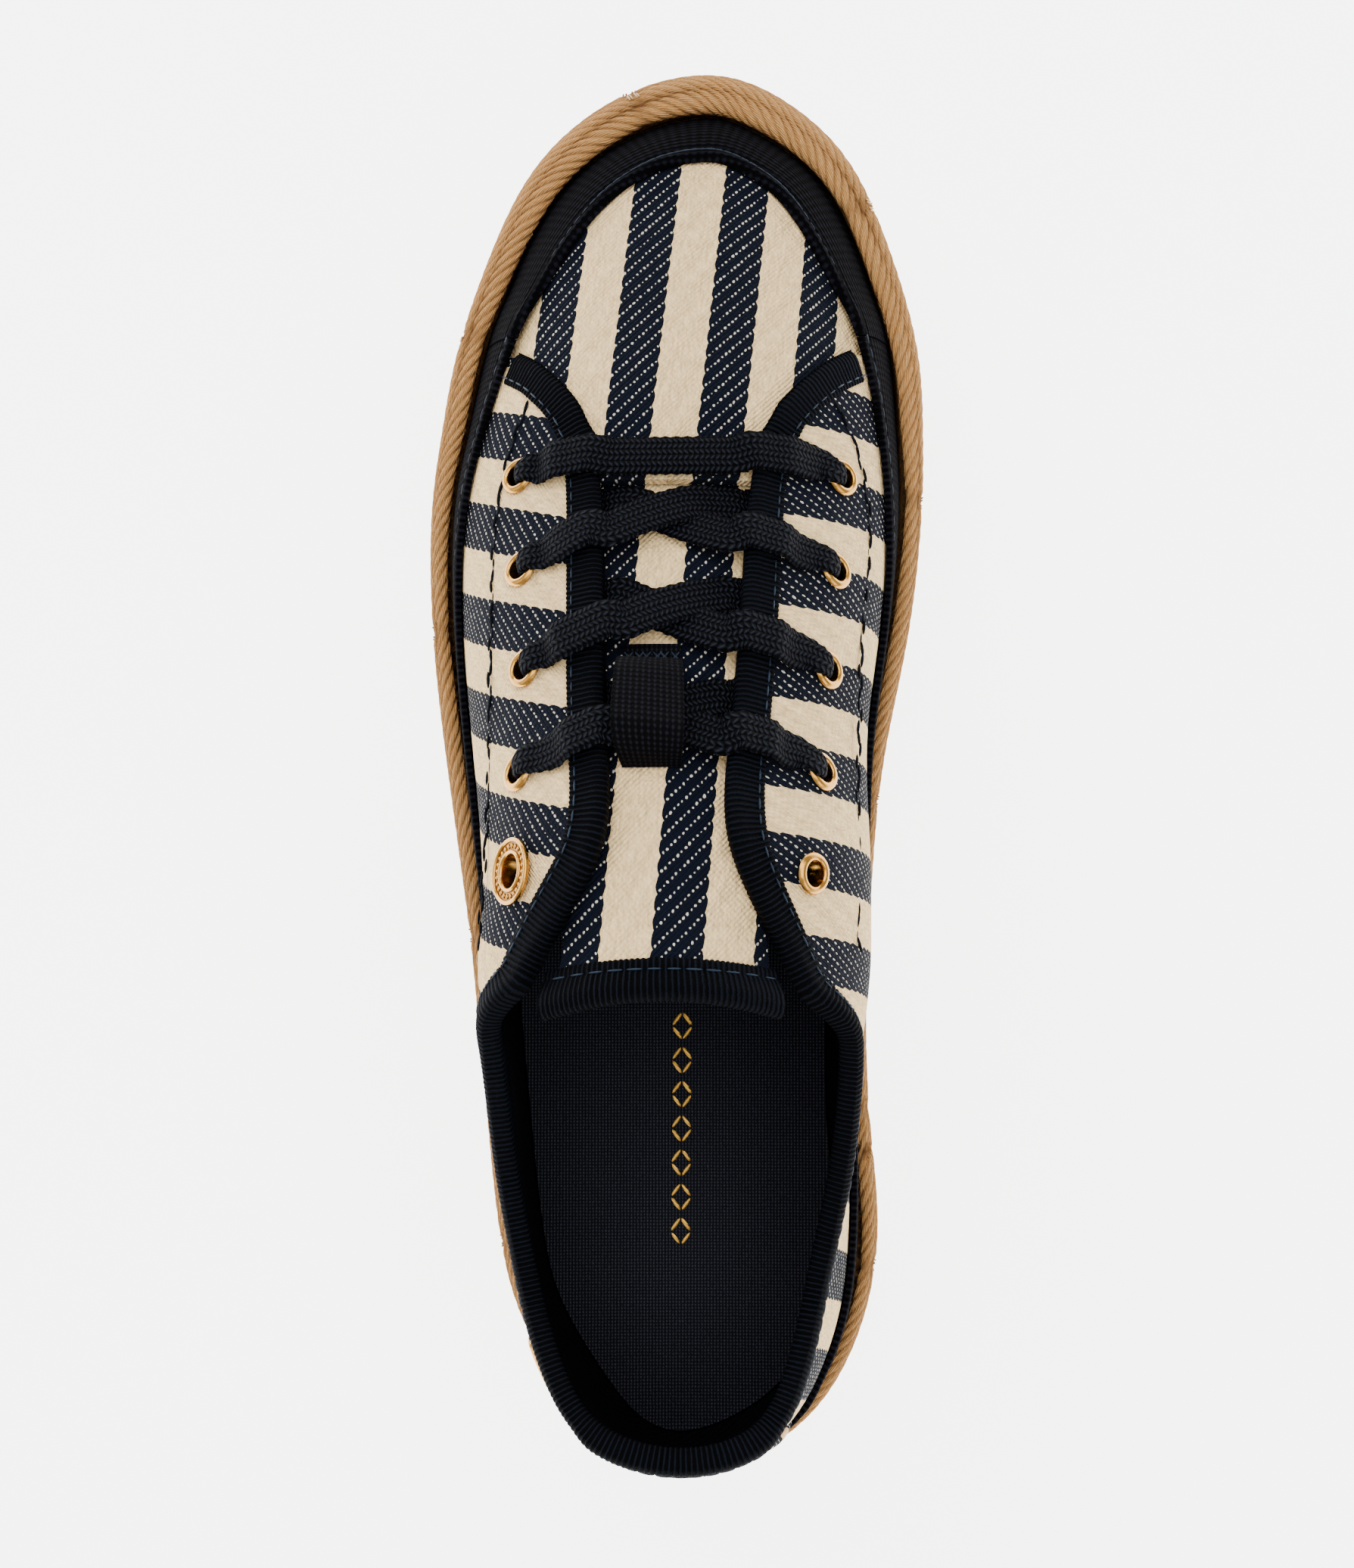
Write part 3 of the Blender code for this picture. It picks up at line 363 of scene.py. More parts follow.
class LoopSpline:
    """A smooth closed curve through rows of numbers, one row at each whole value of its parameter."""

    def __init__(self, rows: Array) -> None:
        """Fits the curve to the rows."""
        self.rows = np.array(rows, float)
        count = len(self.rows)
        ahead = np.roll(np.eye(count), 1, axis=1)
        bends = np.roll(self.rows, 1, axis=0) - 2 * self.rows + np.roll(self.rows, -1, axis=0)
        self.bends = np.linalg.solve(4 * np.eye(count) + ahead + ahead.T, 6 * bends)

    def __call__(self, at: Array) -> Array:
        """Values of the curve at the given parameters."""
        at = np.asarray(at, float) % len(self.rows)
        before = np.floor(at).astype(int)
        after = (before + 1) % len(self.rows)
        on = (at - before)[..., None]
        back = 1 - on
        return (
            self.rows[before] * back
            + self.rows[after] * on
            + self.bends[before] * (back**3 - back) / 6
            + self.bends[after] * (on**3 - on) / 6
        )


class Last:
    """The surface that the shoe is built on, and where the edges of its pieces lie on it.

    A place on it is a, counted in sections round the shoe from the heel, lateral side first, and v,
    from 0 at the sole to 1 at the section's end.
    """

    def __init__(self) -> None:
        """Fits the plan and the sections."""
        lateral, medial = ([(x, f.y) for x, f in zip(xs, FEET)] for xs in list(zip(*FEET))[1:3])
        self.outline = LoopSpline(self.around(lateral, medial))
        rims = [(f.rim,) for f in FEET]
        self.rims = LoopSpline(self.around(rims, rims))
        self.handles = LoopSpline(self.section_handles())

    @staticmethod
    def around(lateral: list, medial: list) -> list:
        """Joins a lateral and a medial column, heel to toe, into one that runs round the shoe."""
        return list(lateral) + list(medial)[-2:0:-1]

    @staticmethod
    def from_heel(a: Array) -> Array:
        """Sections from the heel, on either side."""
        return TOE - abs(np.asarray(a, float) % LOOP - TOE)

    def cover(self, a: Array) -> Array:
        """How far quarter and heel patch stand proud of the last under the foxing."""
        front = 1 - ease((self.from_heel(a) - THROAT_FRONT - 2.2) / 0.8)
        patch = 1 - ease((self.from_heel(a) - PATCH_FOOT - 0.1) / 0.5)
        return QUARTER_STEP * front + PATCH_STEP * patch

    def plan_edge(self, a: Array, inset: Array | float) -> Array:
        """The rope's outline in plan at a, moved in by inset."""
        step = 0.01
        along = unit(self.outline(np.asarray(a) + step) - self.outline(np.asarray(a) - step))
        inward = np.stack([along[..., 1], -along[..., 0]], axis=-1)
        return self.outline(a) + inward * np.asarray(inset)[..., None]

    @staticmethod
    def raised(plan: Array, height: Array | float) -> Array:
        """Points over a plan position at a height above the sprung sole."""
        z = np.asarray(height) + spring(plan[..., 1])
        return np.concatenate([plan, np.broadcast_to(z, plan.shape[:-1])[..., None]], axis=-1)

    def section_handles(self) -> list:
        """The four control points of each section, the foxing's reach and the throat's edge."""
        rows = []
        ridge_points = np.array([[r.x, r.y, r.z] for r in RIDGES])
        slopes = unit(np.gradient(ridge_points, axis=0) * [0, 1, 1])
        for medial in (False, True):
            side = []
            for i, foot in enumerate(FEET):
                a = LOOP - i if medial else i
                bulge = foot.bulge_medial if medial else foot.bulge_lateral
                inset = foot.rim + 2 * GAP + FOXING + self.cover(a)
                base = self.raised(self.plan_edge(a, inset), FEATHER)
                out = unit(self.plan_edge(a, 0.0) - self.plan_edge(a, 1.0))
                first = base + np.append(out * bulge, foot.rise)
                if i < FIRST_RIDGE:
                    c = COLLARS[i]
                    end = (c.medial_x, c.medial_y, c.z) if medial else (c.lateral_x, c.lateral_y, c.z)
                    end = np.array(end)
                    roll = math.radians(c.roll)
                    away = np.append(unit(base[:2] - end[:2]) * math.cos(roll), -math.sin(roll))
                    reach, throat = c.reach, end[0]
                else:
                    r = RIDGES[i - FIRST_RIDGE]
                    end = ridge_points[i - FIRST_RIDGE]
                    fan = math.radians(r.fan)
                    across = np.array([1.0 if medial else -1.0, 0, 0])
                    away = math.cos(fan) * slopes[i - FIRST_RIDGE] + math.sin(fan) * across
                    reach, throat = r.reach, r.throat_medial if medial else r.throat_lateral
                side.append(np.concatenate([base, first, end + reach * away, end, [foot.foxing, throat]]))
            rows.append(side)
        return self.around(rows[0], rows[1])

    def skin(self, a: Array, v: Array) -> Array:
        """Points of the last."""
        handles = self.handles(a)
        v = np.asarray(v, float)[..., None]
        w = 1 - v
        base, first, second, end = (handles[..., k : k + 3] for k in (0, 3, 6, 9))
        return w**3 * base + 3 * w * w * v * first + 3 * w * v * v * second + v**3 * end

    def outward(self, a: Array, v: Array) -> Array:
        """Outward normals of the last."""
        step = 0.01
        v = np.clip(v, step, 1 - 3 * step)
        along = self.skin(np.asarray(a) + step, v) - self.skin(np.asarray(a) - step, v)
        up = self.skin(a, v + step) - self.skin(a, v - step)
        return unit(np.cross(up, along))

    def layer(self, a: Array, v: Array, height: Array | float) -> Array:
        """Points at a height over the last."""
        return self.skin(a, v) + self.outward(a, v) * np.asarray(height, float)[..., None]

    def along_section(self, a: Array, length: Array | float) -> Array:
        """v at a length up the section from the sole."""
        v = np.linspace(0, 1, 80)
        found = []
        for one, want in np.broadcast(a, length):
            found.append(np.interp(want, run_of(self.skin(np.full(v.shape, one), v)), v))
        return np.array(found)

    def foxing_top(self, a: Array) -> Array:
        """v of the foxing's top edge."""
        return self.along_section(a, self.handles(a)[..., FOXING_REACH])

    def crest(self, a: Array) -> Array:
        """v of the quarter's top edge: the section's end at the collar, short of it at the throat."""
        a = np.asarray(a, float)
        s = np.minimum(self.from_heel(a), THROAT_FRONT)
        held = np.where(a < 0, -s, s)
        throat = self.handles(held)[..., THROAT_EDGE]
        low = np.full(a.shape, 0.5)
        v = solve(lambda t: abs(throat) - abs(self.skin(held, t)[..., 0]), low, low + 0.5)
        past = np.minimum(self.from_heel(a) - s, 2.0)
        return np.where(s <= FIRST_RIDGE - 1, 1.0, v) - CREST_FALL * past

    def quarter_front(self, share: Array, side: Side) -> Array:
        """Section number of the quarter's front edge at a share of the height of its top edge."""
        share = np.asarray(share, float)

        def past(s: Array) -> Array:
            """How far the place lies ahead of the edge's line in plan."""
            point = self.skin(side.value * s, share * self.crest(side.value * s))
            centre = np.interp(point[..., 1], [r.y for r in RIDGES], [r.x for r in RIDGES])
            across = abs(point[..., 0] - centre)
            return point[..., 1] - np.interp(across, QUARTER_FRONT_ACROSS, QUARTER_FRONT_Y)

        return solve(past, np.full(share.shape, THROAT_FRONT), np.full(share.shape, 15.0))

    @staticmethod
    def patch_limit(share: Array) -> Array:
        """Section number of the heel patch's edge at a share of the wall's height."""
        return PATCH_FOOT + (PATCH_TOP - PATCH_FOOT) * np.asarray(share, float)

    def foot_of(self, point: Array, a: float, v: float) -> tuple[float, float]:
        """Place on the last nearest to a point, from a first guess."""
        step = 0.002
        for _ in range(8):
            at = self.skin(a, v)
            slopes = [(self.skin(a + step, v) - at) / step, (self.skin(a, v + step) - at) / step]
            moved = np.linalg.lstsq(np.column_stack(slopes), point - at, rcond=None)[0]
            a, v = a + moved[0], min(max(v + moved[1], 0.0), 1.2)
        return a, v

    def over_plan(self, x: float, y: float) -> tuple[float, float]:
        """Place on the last over a plan position beside the throat."""
        a, v = (-10.0 if x > 0 else 10.0), 0.6
        for _ in range(8):
            a, v = self.foot_of(np.array([x, y, self.skin(a, v)[2]]), a, v)
        return a, v

    def stand(self, x: float, y: float, height: float = QUARTER_STEP) -> tuple[Array, Array]:
        """A point at a height over the last, beside the throat in plan, and the normal there."""
        place = self.over_plan(x, y)
        return self.layer(*place, height), self.outward(*place)


LAST = Last()


@dataclass(frozen=True)
class Patch:
    """A grid of points with where each lies on its cloth, if it isn't plain, its finish and depth.

    A capped one is closed round its rows, and its first and last row each get a flat end.
    """

    points: Array
    cloth: Array | None = None
    finish: int = 0
    depth: Array | None = None
    capped: bool = False

    def faces(self, start: int) -> Array:
        """Its quads, with its first point numbered start."""
        rows, columns = self.points.shape[:2]
        index = start + np.arange(rows * columns).reshape(rows, columns)
        corners = (index[:-1, :-1], index[:-1, 1:], index[1:, 1:], index[1:, :-1])
        return np.stack(corners, axis=-1).reshape(-1, 4)


def plain_cloth(points: Array) -> Array:
    """Cloth places of a grid, in millimetres along its two directions."""
    rows, columns = points.shape[:2]
    u = np.stack([run_of(points[k]) for k in range(rows)])
    v = np.stack([run_of(points[:, k]) for k in range(columns)], axis=1)
    return np.stack([u, v], axis=-1)


def across_along(across: Array, along: Array) -> Array:
    """Cloth places of a grid whose rows each lie at one length along the cloth."""
    return np.stack(np.meshgrid(across, along), axis=-1)


def placed(name: str, data: bpy.types.ID) -> Piece:
    """An object with this data, linked into the scene at the origin."""
    made = bpy.data.objects.new(name, data)
    bpy.context.scene.collection.objects.link(made)
    return made


def evaluated(piece: Piece) -> bpy.types.Mesh:
    """A plain mesh of a piece with its modifiers applied."""
    return bpy.data.meshes.new_from_object(piece.evaluated_get(bpy.context.evaluated_depsgraph_get()))


def make_body(
    name: str,
    patches: Iterable[Patch],
    finishes: Iterable["Finish"],
    caps: Iterable[Array] = (),
    sharp: float = 50.0,
    weld: float = 0.004,
) -> Piece:
    """Makes one closed piece from grids that share their borders.

    Args:
        name: Name of the piece.
        patches: The grids.
        finishes: The finishes that the grids' finish numbers count.
        caps: Other flat ends, each a ring of points.
        sharp: Angle in degrees over which an edge is sharp.
        weld: Points nearer than this become one.

    Returns:
        The piece, in metres, with its faces turned outwards.
    """
    points, cloth, depth, faces, wears = [], [], [], [], []
    for patch in patches:
        start = sum(len(p) for p in points)
        quads = patch.faces(start)
        points.append(patch.points.reshape(-1, 3))
        if patch.depth is not None:
            depth.append(patch.depth.ravel())
        places = plain_cloth(patch.points) if patch.cloth is None else patch.cloth
        cloth.append(places.reshape(-1, 2))
        faces += quads.tolist()
        wears += [patch.finish] * len(quads)
    ends = [patch.points[k, :-1] for patch in patches if patch.capped for k in (0, -1)]
    for cap in ends + list(caps):
        start = sum(len(p) for p in points)
        points.append(np.asarray(cap))
        cloth.append(np.zeros((len(cap), 2)))
        faces.append(list(range(start, start + len(cap))))
        wears.append(wears[-1])
    mesh = bpy.data.meshes.new(name)
    mesh.from_pydata(metres(np.concatenate(points)).tolist(), [], faces)
    for finish in finishes:
        mesh.materials.append(finish.material())
    mesh.polygons.foreach_set("material_index", wears)
    corners = np.zeros(len(mesh.loops), int)
    mesh.loops.foreach_get("vertex_index", corners)
    layer = mesh.uv_layers.new(name="cloth")
    layer.data.foreach_set("uv", np.concatenate(cloth)[corners].ravel())
    if depth:
        depth = np.concatenate(depth)
        mesh.attributes.new("depth", "FLOAT", "POINT").data.foreach_set("value", depth)
    bm = bmesh.new()
    bm.from_mesh(mesh)
    bmesh.ops.remove_doubles(bm, verts=bm.verts, dist=weld * MM)
    bmesh.ops.recalc_face_normals(bm, faces=bm.faces)
    bm.to_mesh(mesh)
    bm.free()
    mesh.shade_smooth()
    mesh.set_sharp_from_angle(angle=math.radians(sharp))
    return placed(name, mesh)


def settle(piece: Piece, slot: str, *nodes: str) -> None:
    """Gives a finished piece its place in the frame.

    Args:
        piece: The piece.
        slot: The record's slot; not used.
        nodes: The CAD nodes that it stands for.
    """
    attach(piece, "root")
    if nodes:
        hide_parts(*nodes)
    LOG.info("%s: %d faces", piece.name, len(piece.data.polygons))


def ribbon(rows: Array, turns: int = 18, edge: float = 0.55) -> tuple[Array, Array]:
    """Sweeps a flat braid or cord along a line.

    Args:
        rows: Points, face normals, half width and half thickness, one row of eight numbers each.
        turns: Points round the section.
        edge: How square the section is, from 1 for an ellipse towards 0.

    Returns:
        The grid of points, closed round the section, and its cloth places.
    """
    along = unit(np.gradient(rows[:, :3], axis=0))
    across = unit(np.cross(rows[:, 3:6], along))
    up = np.cross(along, across)
    round_ = np.linspace(0, 2 * np.pi, turns + 1)
    c, s = np.cos(round_), np.sin(round_)
    x = np.sign(c) * abs(c) ** edge
    z = np.sign(s) * abs(s) ** 0.9
    points = (
        rows[:, None, :3]
        + across[:, None] * (rows[:, 6, None] * x)[..., None]
        + up[:, None] * (rows[:, 7, None] * z)[..., None]
    )
    cloth = np.stack([rows[:, 6, None] * x, np.repeat(run_of(rows[:, :3])[:, None], turns + 1, 1)], -1)
    return points, cloth


def linear(code: str) -> tuple[float, ...]:
    """Turns an sRGB hex colour into linear red, green, blue and alpha."""
    channels = [int(code[k : k + 2], 16) / 255 for k in (1, 3, 5)]
    return (*(c / 12.92 if c <= 0.04045 else ((c + 0.055) / 1.055) ** 2.4 for c in channels), 1.0)


def fill(node: Node, inputs: dict) -> None:
    """Sets or links a node's sockets, by name or number, to values, sockets or nodes."""
    for key, value in inputs.items():
        socket = node.inputs[key]
        if isinstance(value, Node):
            value = value.outputs[0]
        if isinstance(value, bpy.types.NodeSocket):
            node.id_data.links.new(value, socket)
        else:
            socket.default_value = value


def add(tree: Tree, kind: str, inputs: dict | None = None, operation: str = "", **settings) -> Node:
    """Adds a node to a tree.

    Args:
        tree: The tree.
        kind: The node's type.
        inputs: What goes into each socket, by name or number: a value, a socket or a node.
        operation: What it does, where its type has a choice.
        settings: The node's own properties.

    Returns:
        The node.
    """
    node = tree.nodes.new(kind)
    if operation:
        node.operation = operation
    for key, value in settings.items():
        setattr(node, key, value)
    fill(node, inputs or {})
    return node


def cloth_places(tree: Tree, scale: float, detail: float, reach: float) -> tuple[Node, Node]:
    """Places on the cloth in millimetres, and the same with the wander of hand-led threads."""
    cloth = add(tree, "ShaderNodeUVMap", uv_map="cloth")
    wander = add(tree, NOISE, {"Vector": cloth, "Scale": scale, "Detail": detail})
    led = {0: wander.outputs["Color"], 1: (reach, reach, 0.0), 2: cloth}
    return cloth, add(tree, VECTOR, led, "MULTIPLY_ADD")


@dataclass(frozen=True)
class Finish:
    """What every finish has: its name, its main colour and how rough it is."""

    name: str
    colour: str
    roughness: float = 0.85
    sheen: float = 0.0
    metallic: float = 0.0
    gloss: float = 0.5

    def material(self) -> bpy.types.Material:
        """The finish's material, made the first time it is asked for."""
        made = bpy.data.materials.get(self.name)
        if made is None:
            made = bpy.data.materials.new(self.name)
            made.use_nodes = True
            shader = made.node_tree.nodes["Principled BSDF"]
            fill(shader, {
                "Base Color": linear(self.colour), "Roughness": self.roughness, "Metallic": self.metallic,
                "Sheen Weight": self.sheen, "Specular IOR Level": self.gloss})
            made.diffuse_color = linear(self.colour)
            fill(shader, self.dress(made.node_tree))
        return made

    def dress(self, tree: Tree) -> dict:
        """Makes the finish's pattern, and says what goes into which of its shader's sockets."""
        raise NotImplementedError


@dataclass(frozen=True)
class StripedCanvas(Finish):
    """Heavy cotton canvas woven in broad stripes: cream plain weave, and navy with cream floats.

    The cream reads as matt cloth with faint warp streaks and specks. The navy is crossed by
    diagonal rows of small bright floats, and its edges bulge between one row and the next.
    """

    navy: str = "#040916"
    float_colour: str = "#c8c1b2"
    streak: str = "#b5986c"
    repeat: float = REPEAT
    half_stripe: float = 4.05
    scallop: float = 0.32
    row_pitch: float = 2.95
    row_slope: float = 1.06
    float_pitch: float = 0.6
    thread: float = 0.55

    def dress(self, tree: Tree) -> dict:
        """Works the pattern out from cloth places: u across the stripes from a navy one's middle."""
        cloth, place = cloth_places(tree, 0.8, 2.0, 0.3)
        u = add(tree, PARTS, {0: place})
        half = self.row_pitch / 2
        row = add(tree, VECTOR, {0: place, 1: (-self.row_slope, 1.0, 0.0)}, "DOT_PRODUCT")
        row = add(tree, MATH, {0: row.outputs["Value"], 1: half, 2: -half}, "WRAP")
        from_row = add(tree, MATH, {0: row}, "ABSOLUTE")
        bulge = add(tree, MATH, {0: from_row, 1: math.pi / self.row_pitch}, "MULTIPLY")
        bulge = add(tree, MATH, {0: bulge}, "SINE")
        edge = add(tree, MATH, {0: bulge, 1: self.scallop, 2: self.half_stripe}, "MULTIPLY_ADD")
        across = add(tree, MATH, {0: u, 1: self.repeat / 2, 2: -self.repeat / 2}, "WRAP")
        across = add(tree, MATH, {0: across}, "ABSOLUTE")
        navy = add(tree, MATH, {0: across, 1: edge}, "LESS_THAN")

        # Floats, half a millimetre wide and a little longer, uneven in size
        step = add(tree, MATH, {0: u, 1: self.float_pitch / 2, 2: -self.float_pitch / 2}, "WRAP")
        up = add(tree, MATH, {0: step, 1: self.row_slope, 2: row}, "MULTIPLY_ADD")
        spot = add(tree, "ShaderNodeCombineXYZ", {0: step, 1: up})
        spot = add(tree, VECTOR, {0: spot, 1: (1 / 0.24, 1 / 0.29, 1.0)}, "MULTIPLY")
        spot = add(tree, VECTOR, {0: spot}, "LENGTH")
        uneven = add(tree, NOISE, {"Vector": cloth, "Scale": 1.1, "Detail": 1.0})
        size = add(tree, RANGE, {"Value": uneven, 1: 0.3, 2: 0.7, 3: 0.45, 4: 1.35})
        core = add(tree, MATH, {0: size, 1: 0.35}, "SUBTRACT")
        floats = add(tree, RANGE, {"Value": spot.outputs["Value"], 1: size, 2: core, 3: 0.0, 4: 1.0})

        # Cream: warp streaks every half millimetre or so, and a few specks of seed
        streaks = add(tree, VECTOR, {0: cloth, 1: (2.0, 0.45, 1.0)}, "MULTIPLY")
        streaks = add(tree, NOISE, {"Vector": streaks, "Scale": 1.0, "Detail": 4.0, "Roughness": 0.65})
        streaks = add(tree, RANGE, {"Value": streaks, 1: 0.4, 2: 0.7, 3: 0.0, 4: 0.75})
        cream = add(tree, MIX, {0: streaks, 6: linear(self.colour), 7: linear(self.streak)},
                    data_type="RGBA")
        dark = add(tree, MIX,
                   {0: floats, 6: linear(self.navy), 7: linear(self.float_colour)}, data_type="RGBA")
        tint = add(tree, MIX, {0: navy, 6: cream.outputs[2], 7: dark.outputs[2]}, data_type="RGBA")

        # Relief: interlaced threads, deeper where the navy warp floats over them
        turns = add(tree, VECTOR, {0: place, 1: (math.pi / self.thread,) * 3}, "MULTIPLY")
        turns = add(tree, PARTS, {0: add(tree, VECTOR, {0: turns}, "SINE").outputs[0]})
        weave = add(tree, MATH, {0: turns.outputs[0], 1: turns.outputs[1]}, "MULTIPLY")
        ridge = add(tree, MATH, {0: row, 1: 2 * math.pi / self.row_pitch * 3}, "MULTIPLY")
        ridge = add(tree, MATH, {0: ridge}, "COSINE")
        raised = add(tree, RANGE, {"Value": navy, 3: 0.6, 4: 1.0})
        ridge = add(tree, MATH, {0: ridge, 1: raised}, "MULTIPLY")
        height = add(tree, MATH, {0: ridge, 1: 1.2, 2: weave}, "MULTIPLY_ADD")
        height = add(tree, MATH, {0: streaks, 1: 1.5, 2: height}, "MULTIPLY_ADD")
        lumps = add(tree, VECTOR, {0: cloth, 1: (0.55, 1.1, 1.0)}, "MULTIPLY")
        lumps = add(tree, NOISE, {"Vector": lumps, "Scale": 1.0, "Detail": 2.0})
        height = add(tree, MATH, {0: lumps, 1: 7.0, 2: height}, "MULTIPLY_ADD")
        bump = add(tree, BUMP, {"Strength": 0.8, "Distance": 0.00012, "Height": height})
        # Painted shade and highlight: the colour is darkened in the weave's hollows and lightened a little
        # on its threads and ridges
        weave = add(tree, MATH, {0: ridge, 1: 0.5, 2: weave}, "MULTIPLY_ADD")
        shade = add(tree, RANGE, {"Value": weave, 1: -1.2, 2: 1.2, 3: 0.86, 4: 1.04})
        tint = add(tree, VECTOR, {0: tint.outputs[2], "Scale": shade}, "SCALE")
        return {"Base Color": tint, "Normal": bump}


class Weave(Enum):
    """How a plain-coloured cloth is woven: the two directions that its threads repeat along."""

    BASKET = ((1.0, 0.0, 0.0), (0.0, 1.0, 0.0))
    TWILL = ((1.0, 1.0, 0.0), (0.35, -0.35, 0.0))
    RIBBED = ((0.0, 1.0, 0.0), (0.6, 0.0, 0.0))
    GROSGRAIN = ((0.0, 1.0, 0.0), (0.0, 0.0, 0.0))
    CHEVRON = ((0.75, 1.2, 0.0), (0.5, 0.0, 0.0))


@dataclass(frozen=True)
class WovenCloth(Finish):
    """Plain-coloured cotton or polyester cloth, tape or braid.

    Painted near black in its hollows as shade, and lighter on its raised threads as a painted
    highlight, with a soft sheen from stray fibres.
    """

    # raised is the painted highlight colour of the raised threads; colour is the near-black painted shade of
    # the hollows
    raised: str = "#23262e"
    weave: Weave = Weave.BASKET
    thread: float = 0.6
    relief: float = 0.0001
    fold: float = 0.0
    crown: float = 0.7

    def dress(self, tree: Tree) -> dict:
        """Works the threads out from cloth places in millimetres."""
        cloth, place = cloth_places(tree, 1.3, 2.0, 0.25)
        if self.fold:
            # The thread's slant turns over at each wale, which makes the herringbone
            parts = add(tree, PARTS, {0: place})
            wale = add(tree, MATH, {0: parts.outputs[0], 1: self.fold, 2: -self.fold}, "WRAP")
            wale = add(tree, MATH, {0: wale}, "ABSOLUTE")
            place = add(tree, "ShaderNodeCombineXYZ", {0: wale, 1: parts.outputs[1]})
        waves = []
        for direction, wave in zip(self.weave.value, ("COSINE", "SINE")):
            turn = tuple(part * math.pi / self.thread for part in direction)
            phase = add(tree, VECTOR, {0: place, 1: turn}, "DOT_PRODUCT")
            waves.append(add(tree, MATH, {0: phase.outputs["Value"]}, wave))
        height = add(tree, MATH, {0: waves[1], 1: self.crown, 2: waves[0]}, "MULTIPLY_ADD")
        fibre_and_highlight = add(tree, NOISE, {"Vector": cloth, "Scale": 3.2, "Detail": 3.0})
        height = add(tree, MATH, {0: fibre_and_highlight, 1: 1.2, 2: height}, "MULTIPLY_ADD")
        # Painted highlight on the raised threads, painted shade in the hollows
        low, high = self.crown * 0.75 + 0.1, self.crown + 1.4
        light = add(tree, RANGE, {"Value": height, 1: low, 2: high, 3: 0.0, 4: 1.0})
        tint = add(tree, MIX, {0: light, 6: linear(self.colour), 7: linear(self.raised)}, data_type="RGBA")
        bump = add(tree, BUMP, {"Strength": 0.8, "Distance": self.relief, "Height": height})
        return {"Base Color": tint.outputs[2], "Normal": bump}


@dataclass(frozen=True)
class TwistedJute(Finish):
    """Soft-spun jute and cotton rope: matt tan plies, painted darker where they meet as shade, hairy all
    over.

    Cloth places run across a ply and along it, so the yarns in a ply slant over it.
    """

    # The hollow colour is painted shade between the plies; the lighter colour is partly the hairs' own
    # streaks, partly a painted highlight on the yarn crests
    hollow: str = "#5f3f22"
    fibre_and_highlight: str = "#d2a873"
    yarn: float = 0.36

    def dress(self, tree: Tree) -> dict:
        """Paints shade into the rope's colour by depth between its plies, paints a highlight on the yarn
        crests, and slants the yarns in each.
        """
        cloth, place = cloth_places(tree, 0.9, 3.0, 0.9)
        depth = add(tree, "ShaderNodeAttribute", attribute_name="depth")
        turn = (math.pi / self.yarn, -math.pi / self.yarn * 0.8, 0.0)
        yarns = add(tree, VECTOR, {0: place, 1: turn}, "DOT_PRODUCT")
        yarns = add(tree, MATH, {0: yarns.outputs["Value"]}, "SINE")
        hairs = add(tree, VECTOR, {0: cloth, 1: (3.4, 0.9, 1.0)}, "MULTIPLY")
        hairs = add(tree, NOISE, {"Vector": hairs, "Scale": 1.2, "Detail": 5.0, "Roughness": 0.7})
        height = add(tree, MATH, {0: yarns, 1: 0.35, 2: hairs}, "MULTIPLY_ADD")
        # Lighter on the hairs' streaks and, as a painted highlight, on the yarn crests
        light = add(tree, RANGE, {"Value": height, 1: 0.2, 2: 1.0, 3: 0.0, 4: 0.75})
        tint = add(tree, MIX, {0: light, 6: linear(self.colour), 7: linear(self.fibre_and_highlight)}, data_type="RGBA")
        # Painted shade: darker the deeper a place lies between cords and plies
        shade = add(tree, RANGE, {"Value": depth.outputs["Fac"], 1: 0.05, 2: 1.0, 3: 0.0, 4: 0.95})
        tint = add(tree, MIX, {0: shade, 6: tint.outputs[2], 7: linear(self.hollow)}, data_type="RGBA")
        bump = add(tree, BUMP, {"Strength": 0.9, "Distance": 0.0002, "Height": height})
        return {"Base Color": tint.outputs[2], "Normal": bump}


@dataclass(frozen=True)
class PlatedMetal(Finish):
    """Brass, polished and plated pale gold: a clear reflection, softened by handling."""

    def dress(self, tree: Tree) -> dict:
        """Varies the polish over a few millimetres."""
        place = add(tree, "ShaderNodeTexCoord").outputs["Object"]
        wear = add(tree, NOISE, {"Vector": place, "Scale": 700.0, "Detail": 4.0})
        smooth, worn = self.roughness - 0.06, self.roughness + 0.1
        polish = add(tree, RANGE, {"Value": wear, 1: 0.3, 2: 0.7, 3: smooth, 4: worn})
        bump = add(tree, BUMP, {"Strength": 0.15, "Distance": 0.00003, "Height": wear})
        return {"Roughness": polish, "Normal": bump}


